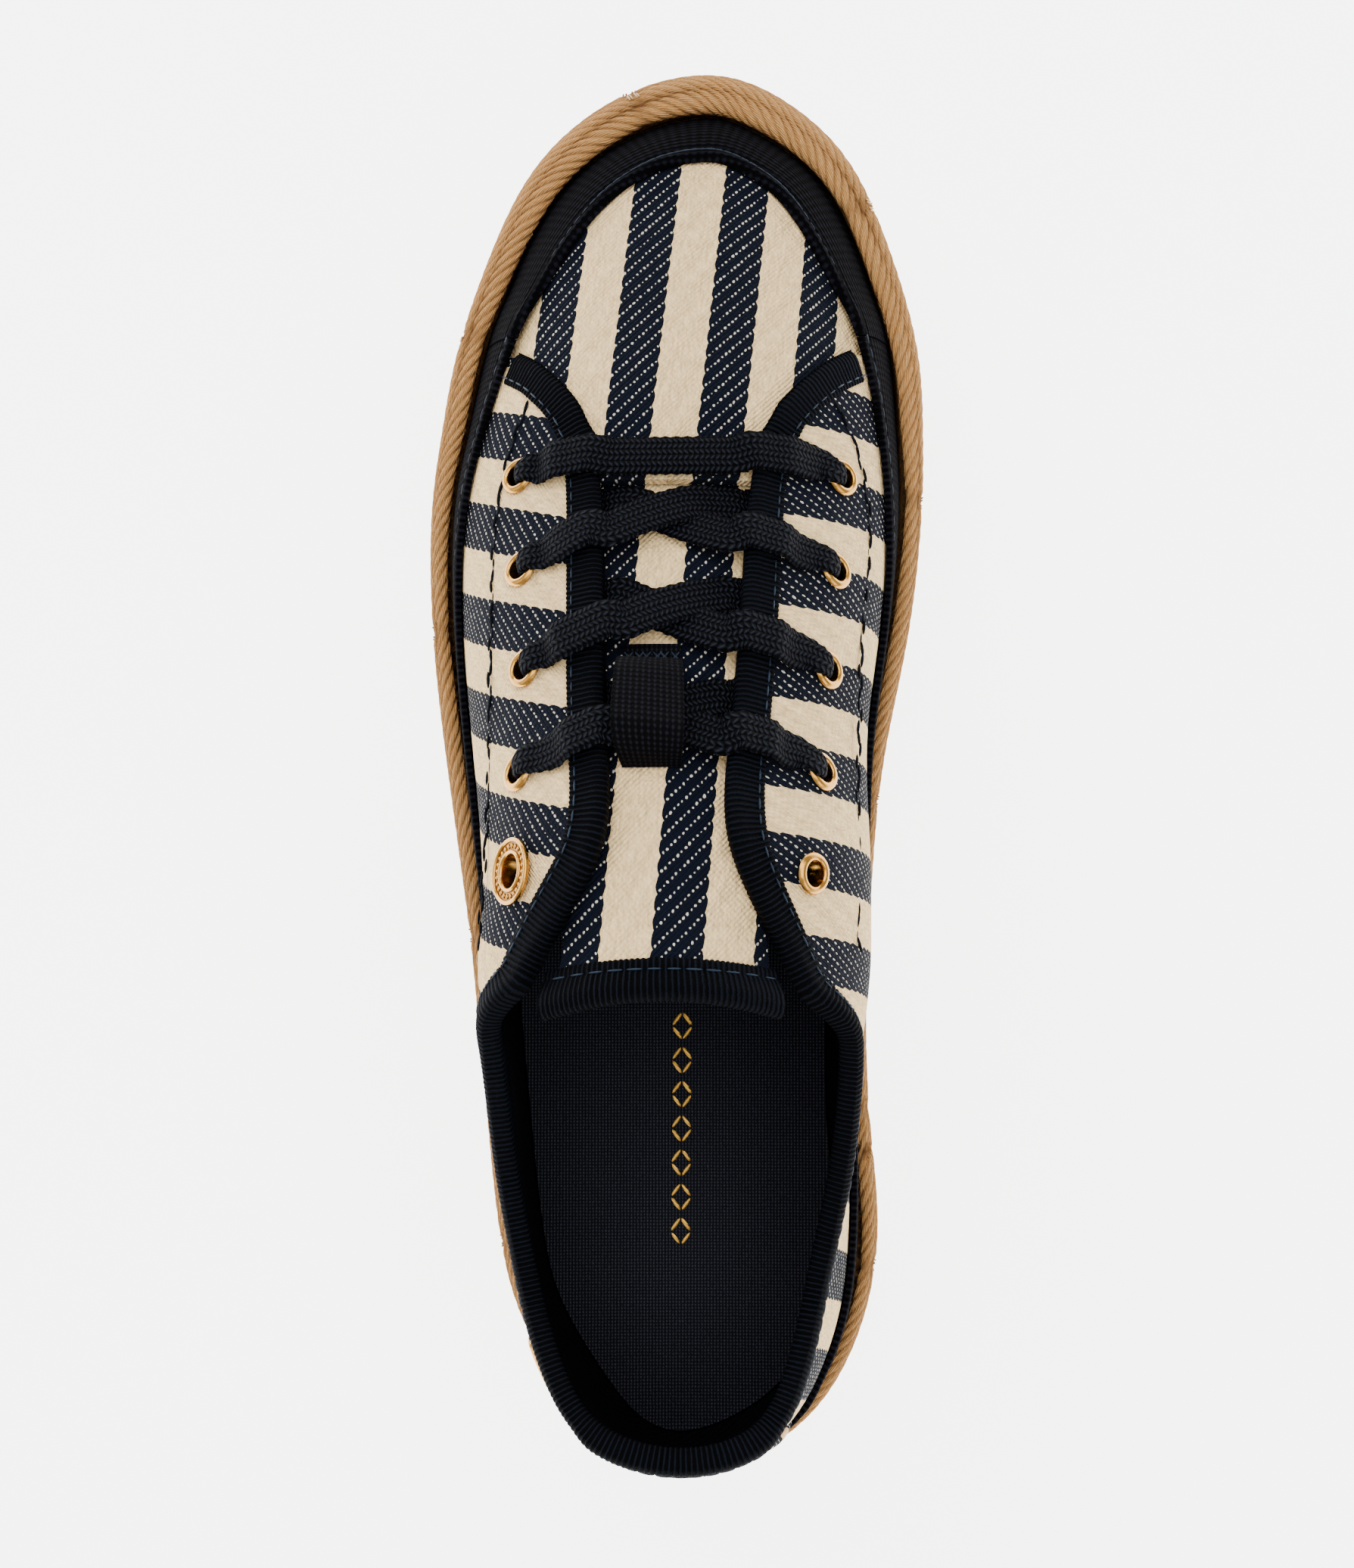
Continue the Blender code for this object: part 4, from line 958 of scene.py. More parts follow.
@dataclass(frozen=True)
class GumRubber(Finish):
    """Vulcanised gum rubber, moulded: satin tan, with a fine zigzag tread below."""

    tread: float = 2.4
    # groove is the painted shade colour of the tread's grooves, also used for random darker patches
    groove: str = "#8a6238"

    def dress(self, tree: Tree) -> dict:
        """Draws the tread from object coordinates, in metres, and paints shade into its grooves."""
        place = add(tree, "ShaderNodeTexCoord").outputs["Object"]
        parts = add(tree, PARTS, {0: place})
        zigzag = add(tree, MATH, {0: parts.outputs[0], 1: 0.004}, "PINGPONG")
        along = add(tree, MATH, {0: zigzag, 1: parts.outputs[1]}, "ADD")
        lines = add(tree, MATH, {0: along, 1: 2 * math.pi / (self.tread * MM)}, "MULTIPLY")
        lines = add(tree, MATH, {0: lines}, "SINE")
        normal = add(tree, "ShaderNodeNewGeometry")
        facing = add(tree, PARTS, {0: normal.outputs["Normal"]})
        below = add(tree, MATH, {0: facing.outputs[2], 1: -0.5}, "LESS_THAN")
        lines = add(tree, MATH, {0: lines, 1: below}, "MULTIPLY")
        grain = add(tree, NOISE, {"Vector": place, "Scale": 900.0, "Detail": 3.0})
        height = add(tree, MATH, {0: grain, 1: 0.25, 2: lines}, "MULTIPLY_ADD")
        # Painted shade in the tread's grooves; the patches below darken the rubber at random
        dark = add(tree, RANGE, {"Value": lines, 1: -1.0, 2: -0.3, 3: 0.8, 4: 0.0})
        patchy = add(tree, NOISE, {"Vector": place, "Scale": 60.0, "Detail": 3.0})
        patchy = add(tree, RANGE, {"Value": patchy, 1: 0.35, 2: 0.7, 3: 0.0, 4: 0.25})
        dark = add(tree, MATH, {0: dark, 1: patchy}, "ADD")
        tint = add(tree, MIX, {0: dark, 6: linear(self.colour), 7: linear(self.groove)}, data_type="RGBA")
        bump = add(tree, BUMP, {"Strength": 0.8, "Distance": 0.0003, "Height": height})
        return {"Base Color": tint.outputs[2], "Normal": bump}


@dataclass(frozen=True)
class SpunThread(Finish):
    """Bonded sewing thread: a fine twist, with a slight gloss along its top."""

    twist: float = 0.35

    def dress(self, tree: Tree) -> dict:
        """Winds the twist in object coordinates, since a stitch is too small to need its own."""
        place = add(tree, "ShaderNodeTexCoord").outputs["Object"]
        turn = (2 * math.pi / (self.twist * MM),) * 3
        phase = add(tree, VECTOR, {0: place, 1: turn}, "DOT_PRODUCT")
        wave = add(tree, MATH, {0: phase.outputs["Value"]}, "SINE")
        bump = add(tree, BUMP, {"Strength": 0.4, "Distance": 0.00005, "Height": wave})
        # Painted shade and highlight along the twist: darker in its grooves, lighter on its ridges
        shade = add(tree, RANGE, {"Value": wave, 1: -1.0, 2: 1.0, 3: 0.8, 4: 1.1})
        tint = add(tree, VECTOR, {0: linear(self.colour)[:3], "Scale": shade}, "SCALE")
        return {"Base Color": tint, "Normal": bump}


@dataclass(frozen=True)
class CastBoard(Finish):
    """Cork-filled core or a painted backdrop: matt, with a faint mottle."""

    mottle: float = 0.04
    grain: float = 120.0
    glow: float = 0.0

    def dress(self, tree: Tree) -> dict:
        """Mottles the colour from object coordinates, and lights a backdrop from behind."""
        place = add(tree, "ShaderNodeTexCoord").outputs["Object"]
        noise = add(tree, NOISE, {"Vector": place, "Scale": self.grain, "Detail": 3.0})
        shade = add(tree, RANGE, {"Value": noise, 1: 0.3, 2: 0.7, 3: 1.0 - self.mottle, 4: 1.0})
        tint = add(tree, VECTOR, {0: linear(self.colour)[:3], "Scale": shade}, "SCALE")
        return {"Base Color": tint, "Emission Color": linear(self.colour), "Emission Strength": self.glow}


CANVAS = StripedCanvas("striped_canvas", "#f3d199", 0.95, gloss=0.1)
# The raised colour of each woven finish is a painted highlight on its threads, over near-black painted shade
LINING = WovenCloth("cotton_twill_lining", "#030306", 0.95, gloss=0.04, raised="#0e0f15",
                    weave=Weave.TWILL, thread=0.55, relief=0.00008)
SOCK = WovenCloth("pebbled_twill_sock", "#0e0f14", 0.95, gloss=0.08, raised="#34353d",
                  thread=0.3, relief=0.0001)
TAPE = WovenCloth("grosgrain_tape", "#010102", 0.8, gloss=0.04, raised="#0f131c",
                  weave=Weave.GROSGRAIN, thread=0.475, relief=0.00012)
FOXING_TAPE = WovenCloth("basket_weave_tape", "#010102", 0.9, gloss=0.03, raised="#101017",
                         thread=0.62, relief=0.00015)
GUARD_TAPE = WovenCloth("ribbed_tape", "#010102", 0.85, gloss=0.03, raised="#0f0f16", weave=Weave.RIBBED,
                        thread=0.46, relief=0.00015)
LOOP_TAPE = WovenCloth("loop_tape", "#020203", 0.85, gloss=0.05, raised="#14131a", thread=0.45,
                       relief=0.0001)
BRAID = WovenCloth("flat_braid", "#010102", 0.7, gloss=0.04, raised="#1e2029", weave=Weave.CHEVRON,
                   thread=0.56, relief=0.0004, fold=1.12, crown=1.9)
JUTE = TwistedJute("jute_rope_plies", "#996732", 0.95, gloss=0.1)
GOLD = PlatedMetal("plated_brass", "#bd8a40", 0.22, metallic=1.0)
DARK_GOLD = PlatedMetal("aged_brass", "#7a5c30", 0.4, metallic=1.0)
RUBBER = GumRubber("moulded_gum_rubber", "#c3a273", 0.5)
CORE = CastBoard("cork_board_core", "#b59b78", 0.9)
FLOOR = CastBoard("painted_floor", "#f8f8f8", 0.9, mottle=0.01, grain=8.0, glow=4.5)
BLUE_THREAD = SpunThread("blue_black_thread", "#10202f", 0.5, gloss=0.2)
NAVY_THREAD = SpunThread("navy_thread", "#04060c", 0.8, gloss=0.05)
TAN_THREAD = SpunThread("waxed_tan_thread", "#b48a55", 0.5)
GILT = SpunThread("gilt_foil", "#c9973c", 0.35, metallic=0.7)


def new_tree(name: str, sizes: dict[str, str]) -> Tree:
    """An empty geometry tree that takes a mesh and named sizes, and gives a mesh."""
    tree = bpy.data.node_groups.new(name, "GeometryNodeTree")
    for size, kind in {"Geometry": "Geometry", **sizes}.items():
        tree.interface.new_socket(size, in_out="INPUT", socket_type="NodeSocket" + kind)
    tree.interface.new_socket("Geometry", in_out="OUTPUT", socket_type="NodeSocketGeometry")
    return tree


def stitch_tree() -> Tree:
    """The node tree that sets a stitch on each point, along and up its two directions."""
    tree = bpy.data.node_groups.get("stitches")
    if tree:
        return tree
    tree = new_tree("stitches", {"Size": "Vector", "Uneven": "Float", "Seed": "Int", "Thread": "Material"})
    given = add(tree, "NodeGroupInput").outputs
    bead = add(tree, "GeometryNodeMeshUVSphere", {"Segments": 8, "Rings": 6, "Radius": 0.5})
    stitch = add(tree, "GeometryNodeTransform", {"Geometry": bead, "Scale": given["Size"]})
    ways = [
        add(tree, "GeometryNodeInputNamedAttribute", {"Name": name}, data_type="FLOAT_VECTOR")
        for name in ("along", "up")
    ]
    turned = add(tree, "FunctionNodeAxesToRotation", {0: ways[0], 1: ways[1]},
                 primary_axis="X", secondary_axis="Z")
    least = add(tree, MATH, {0: 1.0, 1: given["Uneven"]}, "SUBTRACT")
    most = add(tree, MATH, {0: 1.0, 1: given["Uneven"]}, "ADD")
    scale = add(tree, "FunctionNodeRandomValue", {2: least, 3: most, "Seed": given["Seed"]},
                data_type="FLOAT")
    row = add(tree, "GeometryNodeInstanceOnPoints",
              {"Points": given["Geometry"], "Instance": stitch, "Rotation": turned,
               "Scale": scale.outputs[1]})
    real = add(tree, "GeometryNodeRealizeInstances", {0: row})
    smooth = add(tree, "GeometryNodeSetShadeSmooth", {0: real})
    worn = add(tree, "GeometryNodeSetMaterial", {"Geometry": smooth, "Material": given["Thread"]})
    add(tree, "NodeGroupOutput", {"Geometry": worn})
    return tree


@dataclass(frozen=True)
class StitchRow:
    """Stitches along a seam, each a short bowed length of thread set on points.

    Attributes hold one stitch's length, width and height, and how unevenly they are laid.
    """

    length: float
    width: float
    height: float
    uneven: float = 0.1
    seed: int = 3

    def lay(self, name: str, points: Array, along: Array, up: Array, thread: Finish, slot: str) -> None:
        """Sets the stitches, all in one piece.

        Args:
            name: Name of the piece.
            points: Middle of each stitch, in millimetres.
            along: Its direction.
            up: The way its back faces.
            thread: Its finish.
            slot: The record's slot, passed on to settle().
        """
        mesh = bpy.data.meshes.new(name + "_points")
        mesh.from_pydata(metres(points).tolist(), [], [])
        for key, ways in (("along", along), ("up", up)):
            mesh.attributes.new(key, "FLOAT_VECTOR", "POINT").data.foreach_set("vector", np.ravel(ways))
        size = tuple(part * MM for part in (self.length, self.width, self.height))
        values = {"Size": size, "Uneven": self.uneven, "Seed": self.seed, "Thread": thread.material()}
        settle(grown(name, mesh, stitch_tree(), values), slot)


def grown(name: str, mesh: bpy.types.Mesh, tree: Tree, values: dict) -> Piece:
    """Runs a node tree on a mesh and keeps the result as a plain mesh.

    Args:
        name: Name of the piece.
        mesh: What the tree starts from.
        tree: The tree.
        values: What each of its named inputs is set to.

    Returns:
        The piece.
    """
    seed = placed(name + "_seed", mesh)
    modifier = seed.modifiers.new("grow", "NODES")
    modifier.node_group = tree
    for item in tree.interface.items_tree:
        if item.in_out == "INPUT" and item.name in values:
            modifier[item.identifier] = values[item.name]
    made = evaluated(seed)
    made.name = name
    bpy.data.objects.remove(seed, do_unlink=True)
    return placed(name, made)


def rib_tree() -> Tree:
    """The node tree that raises ribs across a tape, from how far along its cloth each point is."""
    tree = bpy.data.node_groups.get("ribs")
    if tree:
        return tree
    tree = new_tree("ribs", {"Pitch": "Float", "Depth": "Float"})
    given = add(tree, "NodeGroupInput").outputs
    cloth = add(tree, "GeometryNodeInputNamedAttribute", {"Name": "cloth"}, data_type="FLOAT_VECTOR")
    cloth = add(tree, PARTS, {0: cloth})
    turn = add(tree, MATH, {0: math.pi, 1: given["Pitch"]}, "DIVIDE")
    phase = add(tree, MATH, {0: cloth.outputs[1], 1: turn}, "MULTIPLY")
    wave = add(tree, MATH, {0: phase}, "COSINE")
    wave = add(tree, MATH, {0: wave}, "ABSOLUTE")
    sunk = add(tree, MATH, {0: wave, 1: 1.0}, "SUBTRACT")
    sunk = add(tree, MATH, {0: sunk, 1: given["Depth"]}, "MULTIPLY")
    normal = add(tree, "GeometryNodeInputNormal")
    offset = add(tree, VECTOR, {0: normal, "Scale": sunk}, "SCALE")
    moved = add(tree, "GeometryNodeSetPosition", {"Geometry": given["Geometry"], "Offset": offset})
    add(tree, "NodeGroupOutput", {"Geometry": moved})
    return tree


def ribbed(piece: Piece, pitch: float, depth: float) -> Piece:
    """Raises ribs across a tape.

    Args:
        piece: The smooth tape, in metres, not yet settled.
        pitch: Distance from rib to rib.
        depth: How deep the grooves are.

    Returns:
        The ribbed piece, which takes the smooth one's place and name.
    """
    name, mesh = piece.name, piece.data.copy()
    bpy.data.objects.remove(piece, do_unlink=True)
    made = grown(name, mesh, rib_tree(), {"Pitch": pitch, "Depth": depth * MM})
    made.data.set_sharp_from_angle(angle=math.radians(60))
    return made


@dataclass
class Sole:
    """Gum outsole, cork core and the band of seven twisted cords round them."""

    cords: int = 7
    plies: int = 6
    ply_pitch: float = 2.9
    ply_width: float = 1.28
    steps: int = 6
    cord_depth: float = 0.4
    ply_depth: float = 0.38
    stitch_pitch: float = 58.0
    first_stitch: float = 22.0

    def build(self) -> None:
        """Makes the outsole and the band, and dresses the core."""
        self.outsole()
        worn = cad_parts["midsole"].data.materials
        worn.clear()
        worn.append(CORE.material())
        self.band()

    def outsole(self) -> None:
        """A thin slab with a rounded foot."""
        places = np.linspace(0, TOE, 150)
        profile = ((2.1, 0.0), (1.3, 0.1), (0.7, 0.45), (0.4, 0.9), (0.3, 1.4), (0.25, 2.5), (0.5, 2.75))
        insets, heights = np.array(profile).T
        grids = []
        for a in (places, LOOP - places):
            spread = np.repeat(a[:, None], len(insets), axis=1)
            plan = LAST.plan_edge(spread, insets + 0 * spread)
            grids.append(LAST.raised(plan, heights + 0 * spread))
        left, right = grids
        share = np.linspace(0, 1, 13)[None, :, None]
        top = left[:, -1:] * (1 - share) + right[:, -1:] * share
        under = left[:, :1] * (1 - share) + right[:, :1] * share
        patches = [Patch(g) for g in (left, right, top, under)]
        settle(make_body("gum_outsole", patches, [RUBBER], sharp=60), "gum_rubber", "outsole")

    @staticmethod
    def section(a: Array, up: Array) -> Array:
        """The band's section at each place: insets from the outline and heights, at shares of its run."""
        rim = LAST.rims(a)[..., 0]
        handles = LAST.handles(a)
        base, first = handles[..., 0:3], handles[..., 3:6]
        plan_out = unit(LAST.plan_edge(a, 0 * rim) - LAST.plan_edge(a, 0 * rim + 1))
        inward = -np.sum((first - base)[..., :2] * plan_out, axis=-1)
        lean = inward / (first - base)[..., 2]
        roll = np.clip((rim - 3.9) / 6.5, 0, 1)
        shoulder = ROPE_SHOULDER_SIDE + (ROPE_SHOULDER_TIP - ROPE_SHOULDER_SIDE) * roll
        inner_top = rim - 0.25 + lean * 3.4
        turn = np.radians(np.linspace(0, 90, 25))
        insets = [0 * rim + 0.5, 0 * rim] + list((inner_top - 1.5) * (1 - np.cos(turn))[:, None])
        heights = [0 * rim + CORE_BOTTOM, 0 * rim + CORE_BOTTOM + 1]
        heights += list(shoulder + (ROPE_TOP - shoulder) * np.sin(turn)[:, None])
        insets += [inner_top - 0.4, inner_top]
        heights += [0 * rim + ROPE_TOP - 0.5, 0 * rim + ROPE_TOP - 1.5]
        found = []
        for line in np.stack([np.stack(insets, axis=1), np.stack(heights, axis=1)], axis=-1):
            run = run_of(line)
            found.append([np.interp(up * run[-1], run, column) for column in line.T])
        return np.moveaxis(np.array(found), 1, 0)

    def relief(self, cord: Array, across: Array, step: Array, along: Array, total: float) -> Array:
        """Depth of the twisted cords under the band's face.

        Args:
            cord: Which cord, from the ground up.
            across: Place across it, from -1 to 1.
            step: Count of columns along the band.
            along: Length along it.
            total: Its whole length.

        Returns:
            The depth in millimetres.
        """
        crown = np.sqrt(1 - across**2)
        groove = 1 - abs(np.cos(np.pi * step / self.steps)) ** 0.8
        from_stitch = (along - self.first_stitch + self.stitch_pitch / 2) % self.stitch_pitch
        from_stitch = abs(from_stitch - self.stitch_pitch / 2)
        near = np.exp(-((from_stitch / 10.0) ** 2))
        pinch = np.exp(-((from_stitch / 1.5) ** 4))
        sunk = self.cord_depth * (1 - crown) * (0.4 + groove + 1.2 * near)
        sunk += self.ply_depth * groove * (1 - 0.6 * pinch) + 0.3 * pinch
        # The topmost cord's free edge is tufted, and the band's ends meet in a ragged butt
        tufts = np.clip((cord + across / 2 - self.cords + 0.72) / 0.3, 0, 1)
        sunk += tufts * (0.28 * (1 + np.cos(2 * np.pi * step / 3)) * (0.6 + 0.4 * np.sin(step * 2.3)))
        butt = np.minimum(along, total - along) + 0.25 * np.sin((cord * 2 + across) * 3.1)
        return sunk + 0.8 * np.exp(-((butt / 0.6) ** 2))

    def band(self) -> None:
        """The band, and the double rows of stitches that pinch it.

        Each column of its grid follows one groove or ridge between plies as it climbs over all the
        cords, so the grid is skewed and closes on itself further round.
        """
        fine = ROPE_SEAM + np.linspace(0, LOOP, 6001)
        run = run_of(LAST.outline(fine))
        total = run[-1]
        count = round(total / self.ply_pitch) * self.steps
        spots = np.array((-1.0, -0.85, -0.5, -0.15, 0.2, 0.55, 0.85))
        across = np.append(np.tile(spots, self.cords), 1.0)
        cord = np.append(np.repeat(np.arange(self.cords), len(spots)), self.cords - 1)
        up = (cord + (across + 1) / 2) / self.cords
        angle = 0.6 * across * np.pi / 2 + 0.4 * np.arcsin(across)
        half_lay = self.plies * self.steps / 2
        shift = half_lay * (cord + angle / np.pi + 0.5)
        step = np.arange(count + 1)[:, None] + 0 * shift
        turns = 2 * np.pi * step / count
        pulled = 0.7 * np.sin(31 * turns + cord * 1.7) + 0.4 * np.sin(83 * turns + cord * 2.9)
        along = (step + shift + pulled * np.sin(np.pi * up) ** 0.3) * total / count % total
        coarse = np.linspace(0, total, 720)
        table = self.section(np.interp(coarse, run, fine), up)
        insets, heights = (
            np.stack([np.interp(along[:, j], coarse, part[:, j]) for j in range(len(up))], axis=1)
            for part in table
        )
        smooth = LAST.raised(LAST.plan_edge(np.interp(along, run, fine), insets), heights)
        ring = np.concatenate([smooth[-2:-1], smooth, smooth[1:2]])
        slopes = np.gradient(ring, axis=0)[1:-1], np.gradient(smooth, axis=1)
        normal = unit(np.cross(*slopes))
        normal *= np.sign(normal[0, 8, 0] * smooth[0, 8, 0])
        sunk = self.relief(cord, across, step, along, total)
        face = smooth + normal * (0.12 - sunk)[..., None]
        # The depth also sets the rope's painted shade between cords and plies
        depth = np.clip(sunk / (self.cord_depth + self.ply_depth), 0, 1)
        cloth = np.stack([step / self.steps * self.ply_width, up * self.cords * 10.2 + 0 * step], axis=-1)

        # Behind, the top edge's columns are taken up again where they lie over the foot's
        turned = int(half_lay * self.cords)
        top = np.roll(face[:-1, -1], turned, axis=0)
        top = np.append(top, top[:1], axis=0)
        a = np.interp(along[:, 0], run, fine)
        rim = LAST.rims(a)
        insets = np.concatenate([rim - 0.25, 0 * rim + 3.8, 0 * rim + 3.8], axis=1)
        levels = np.tile([FEATHER - 0.2, 18.0, CORE_BOTTOM], (len(a), 1))
        back = LAST.raised(LAST.plan_edge(np.repeat(a[:, None], 3, axis=1), insets), levels)
        back = np.concatenate([top[:, None], back, face[:, :1]], axis=1)
        patches = [Patch(face, cloth, depth=depth), Patch(back, depth=0 * back[..., 0])]
        piece = make_body("rope_band", patches, [JUTE], sharp=80)
        settle(piece, "jute_rope", "rope_wrap")
        self.sew(face, normal, along)

    def sew(self, face: Array, normal: Array, along: Array) -> None:
        """Lays two close lines of thread over every cord, at even lengths along the band."""
        points, ways, ups = [], [], []
        middles = np.arange(self.cords - 1) * 7 + 3
        for row in np.arange(self.first_stitch, along.max() - 10, self.stitch_pitch):
            for side in (-1.0, -0.6, 0.6, 1.0):
                for j in middles:
                    low, i, high = (np.argmin(abs(along[:, j + k] - row - side)) for k in (-2, 0, 2))
                    points.append(face[i, j] + normal[i, j] * 0.12)
                    ways.append(face[high, j + 2] - face[low, j - 2])
                    ups.append(normal[i, j])
        row = StitchRow(2.9, 0.36, 0.45, 0.06)
        row.lay("rope_stitches", points, unit(np.array(ways)), ups, TAN_THREAD, "jute_rope")


def even_places(low: float, high: float, spacing: float, lift: float = 34.0) -> Array:
    """Places round the shoe, an even length apart over the wall's foot."""
    fine = np.linspace(low, high, 2000)
    run = run_of(LAST.raised(LAST.plan_edge(fine, 5.0), lift))
    return np.interp(np.linspace(0, run[-1], max(3, int(run[-1] / spacing))), run, fine)


@dataclass
class Foxing:
    """The navy tape round the wall's foot, and the ribbed guard that closes it over the toe."""

    stitch_below: float = 2.3
    bead: float = 2.6
    bead_rise: float = 0.45

    def strip(self, a: Array, drops: Array, lifts: Array) -> tuple[Array, Array]:
        """A grid over the wall.

        Args:
            a: Places round the shoe.
            drops: Distances below the foxing's top edge, or SHARES and a share of its height.
            lifts: Heights over the wall.

        Returns:
            The points and their cloth places.
        """
        reach = LAST.handles(a)[..., FOXING_REACH]
        lengths = np.stack([reach * (1 - (d - SHARES)) if d >= SHARES else reach - d for d in drops], axis=1)
        rows = np.linspace(0, 1, 40)
        skin = LAST.skin(np.repeat(a[:, None], 40, axis=1), np.tile(rows, (len(a), 1)))
        v = np.stack([np.interp(want, run_of(line), rows) for want, line in zip(lengths, skin)])
        spread = np.repeat(a[:, None], len(drops), axis=1)
        lift = LAST.cover(spread) + GAP + np.asarray(lifts)
        points = LAST.layer(spread, v, lift)
        along = run_of(points[:, len(drops) // 2])
        cloth = np.stack([np.repeat(along[:, None], len(drops), 1), lengths], axis=-1)
        return points, cloth

    def tape(self, name: str, a: Array, profile: tuple, finish: Finish, node: str) -> None:
        """One of the two tapes, from its section."""
        drops, lifts = np.array(profile).T
        points, cloth = self.strip(a, drops, lifts)
        closed = np.concatenate([points, points[:, :1]], axis=1)
        cloth = np.concatenate([cloth, cloth[:, :1]], axis=1)
        piece = make_body(name, [Patch(closed, cloth)], [finish], [points[0], points[-1]])
        settle(piece, "navy_tape", node)

    def stitches(self, name: str, a: Array, drop: float, lift: float, length: float) -> None:
        """A line of stitches along a tape."""
        points, _ = self.strip(a, np.array([drop - 0.5, drop, drop + 0.5]), np.array([lift] * 3))
        along = unit(np.gradient(points[:, 1], axis=0))
        up = unit(np.cross(along, points[:, 0] - points[:, 2]))
        up = up * np.sign(np.sum(up * LAST.outward(a, 0.2), axis=1))[:, None]
        row = StitchRow(length, 0.34, 0.32, 0.15)
        row.lay(name, points[:, 1], along, up, BLUE_THREAD, "navy_tape")

    def build(self) -> None:
        """Makes both tapes and their stitches."""
        side = FOXING_SEAM - 0.015
        below = self.stitch_below
        plain = ((SHARES + 1, 1.2), (SHARES + 0.7, 1.2), (SHARES + 0.4, 1.2), (below + 0.9, 1.2),
                 (below + 0.3, 1.12), (below, 1.0), (below - 0.3, 1.15), (1.2, 1.32), (0.5, 1.22),
                 (0.15, 1.0), (0.0, 0.6), (0.1, 0.05), (SHARES + 0.5, 0.0), (SHARES + 1, 0.0))
        self.tape("foxing_tape", even_places(-side, side, 1.6), plain, FOXING_TAPE, "foxing")
        self.stitches("foxing_stitches", even_places(-side, side, 2.9), below, 1.02, 2.2)
        side = FOXING_SEAM + 0.015
        bead, rise = self.bead, self.bead_rise
        folded = ((SHARES + 1, 1.2), (SHARES + 0.7, 1.2), (SHARES + 0.45, 1.2), (bead + 1.0, 1.2),
                  (bead + 0.35, 1.05), (bead, 0.92), (bead - 0.35, 1.15), (bead * 0.7, 1.2 + rise),
                  (bead * 0.45, 1.25 + rise), (bead * 0.2, 1.0 + rise), (0.1, 0.7), (0.0, 0.3),
                  (0.2, 0.05), (SHARES + 0.5, 0.0), (SHARES + 1, 0.0))
        self.tape("toe_guard_tape", even_places(side, LOOP - side, 1.2), folded, GUARD_TAPE, "toe_guard")
        self.stitches("toe_guard_stitches", even_places(side, LOOP - side, 2.7), bead, 1.0, 2.2)


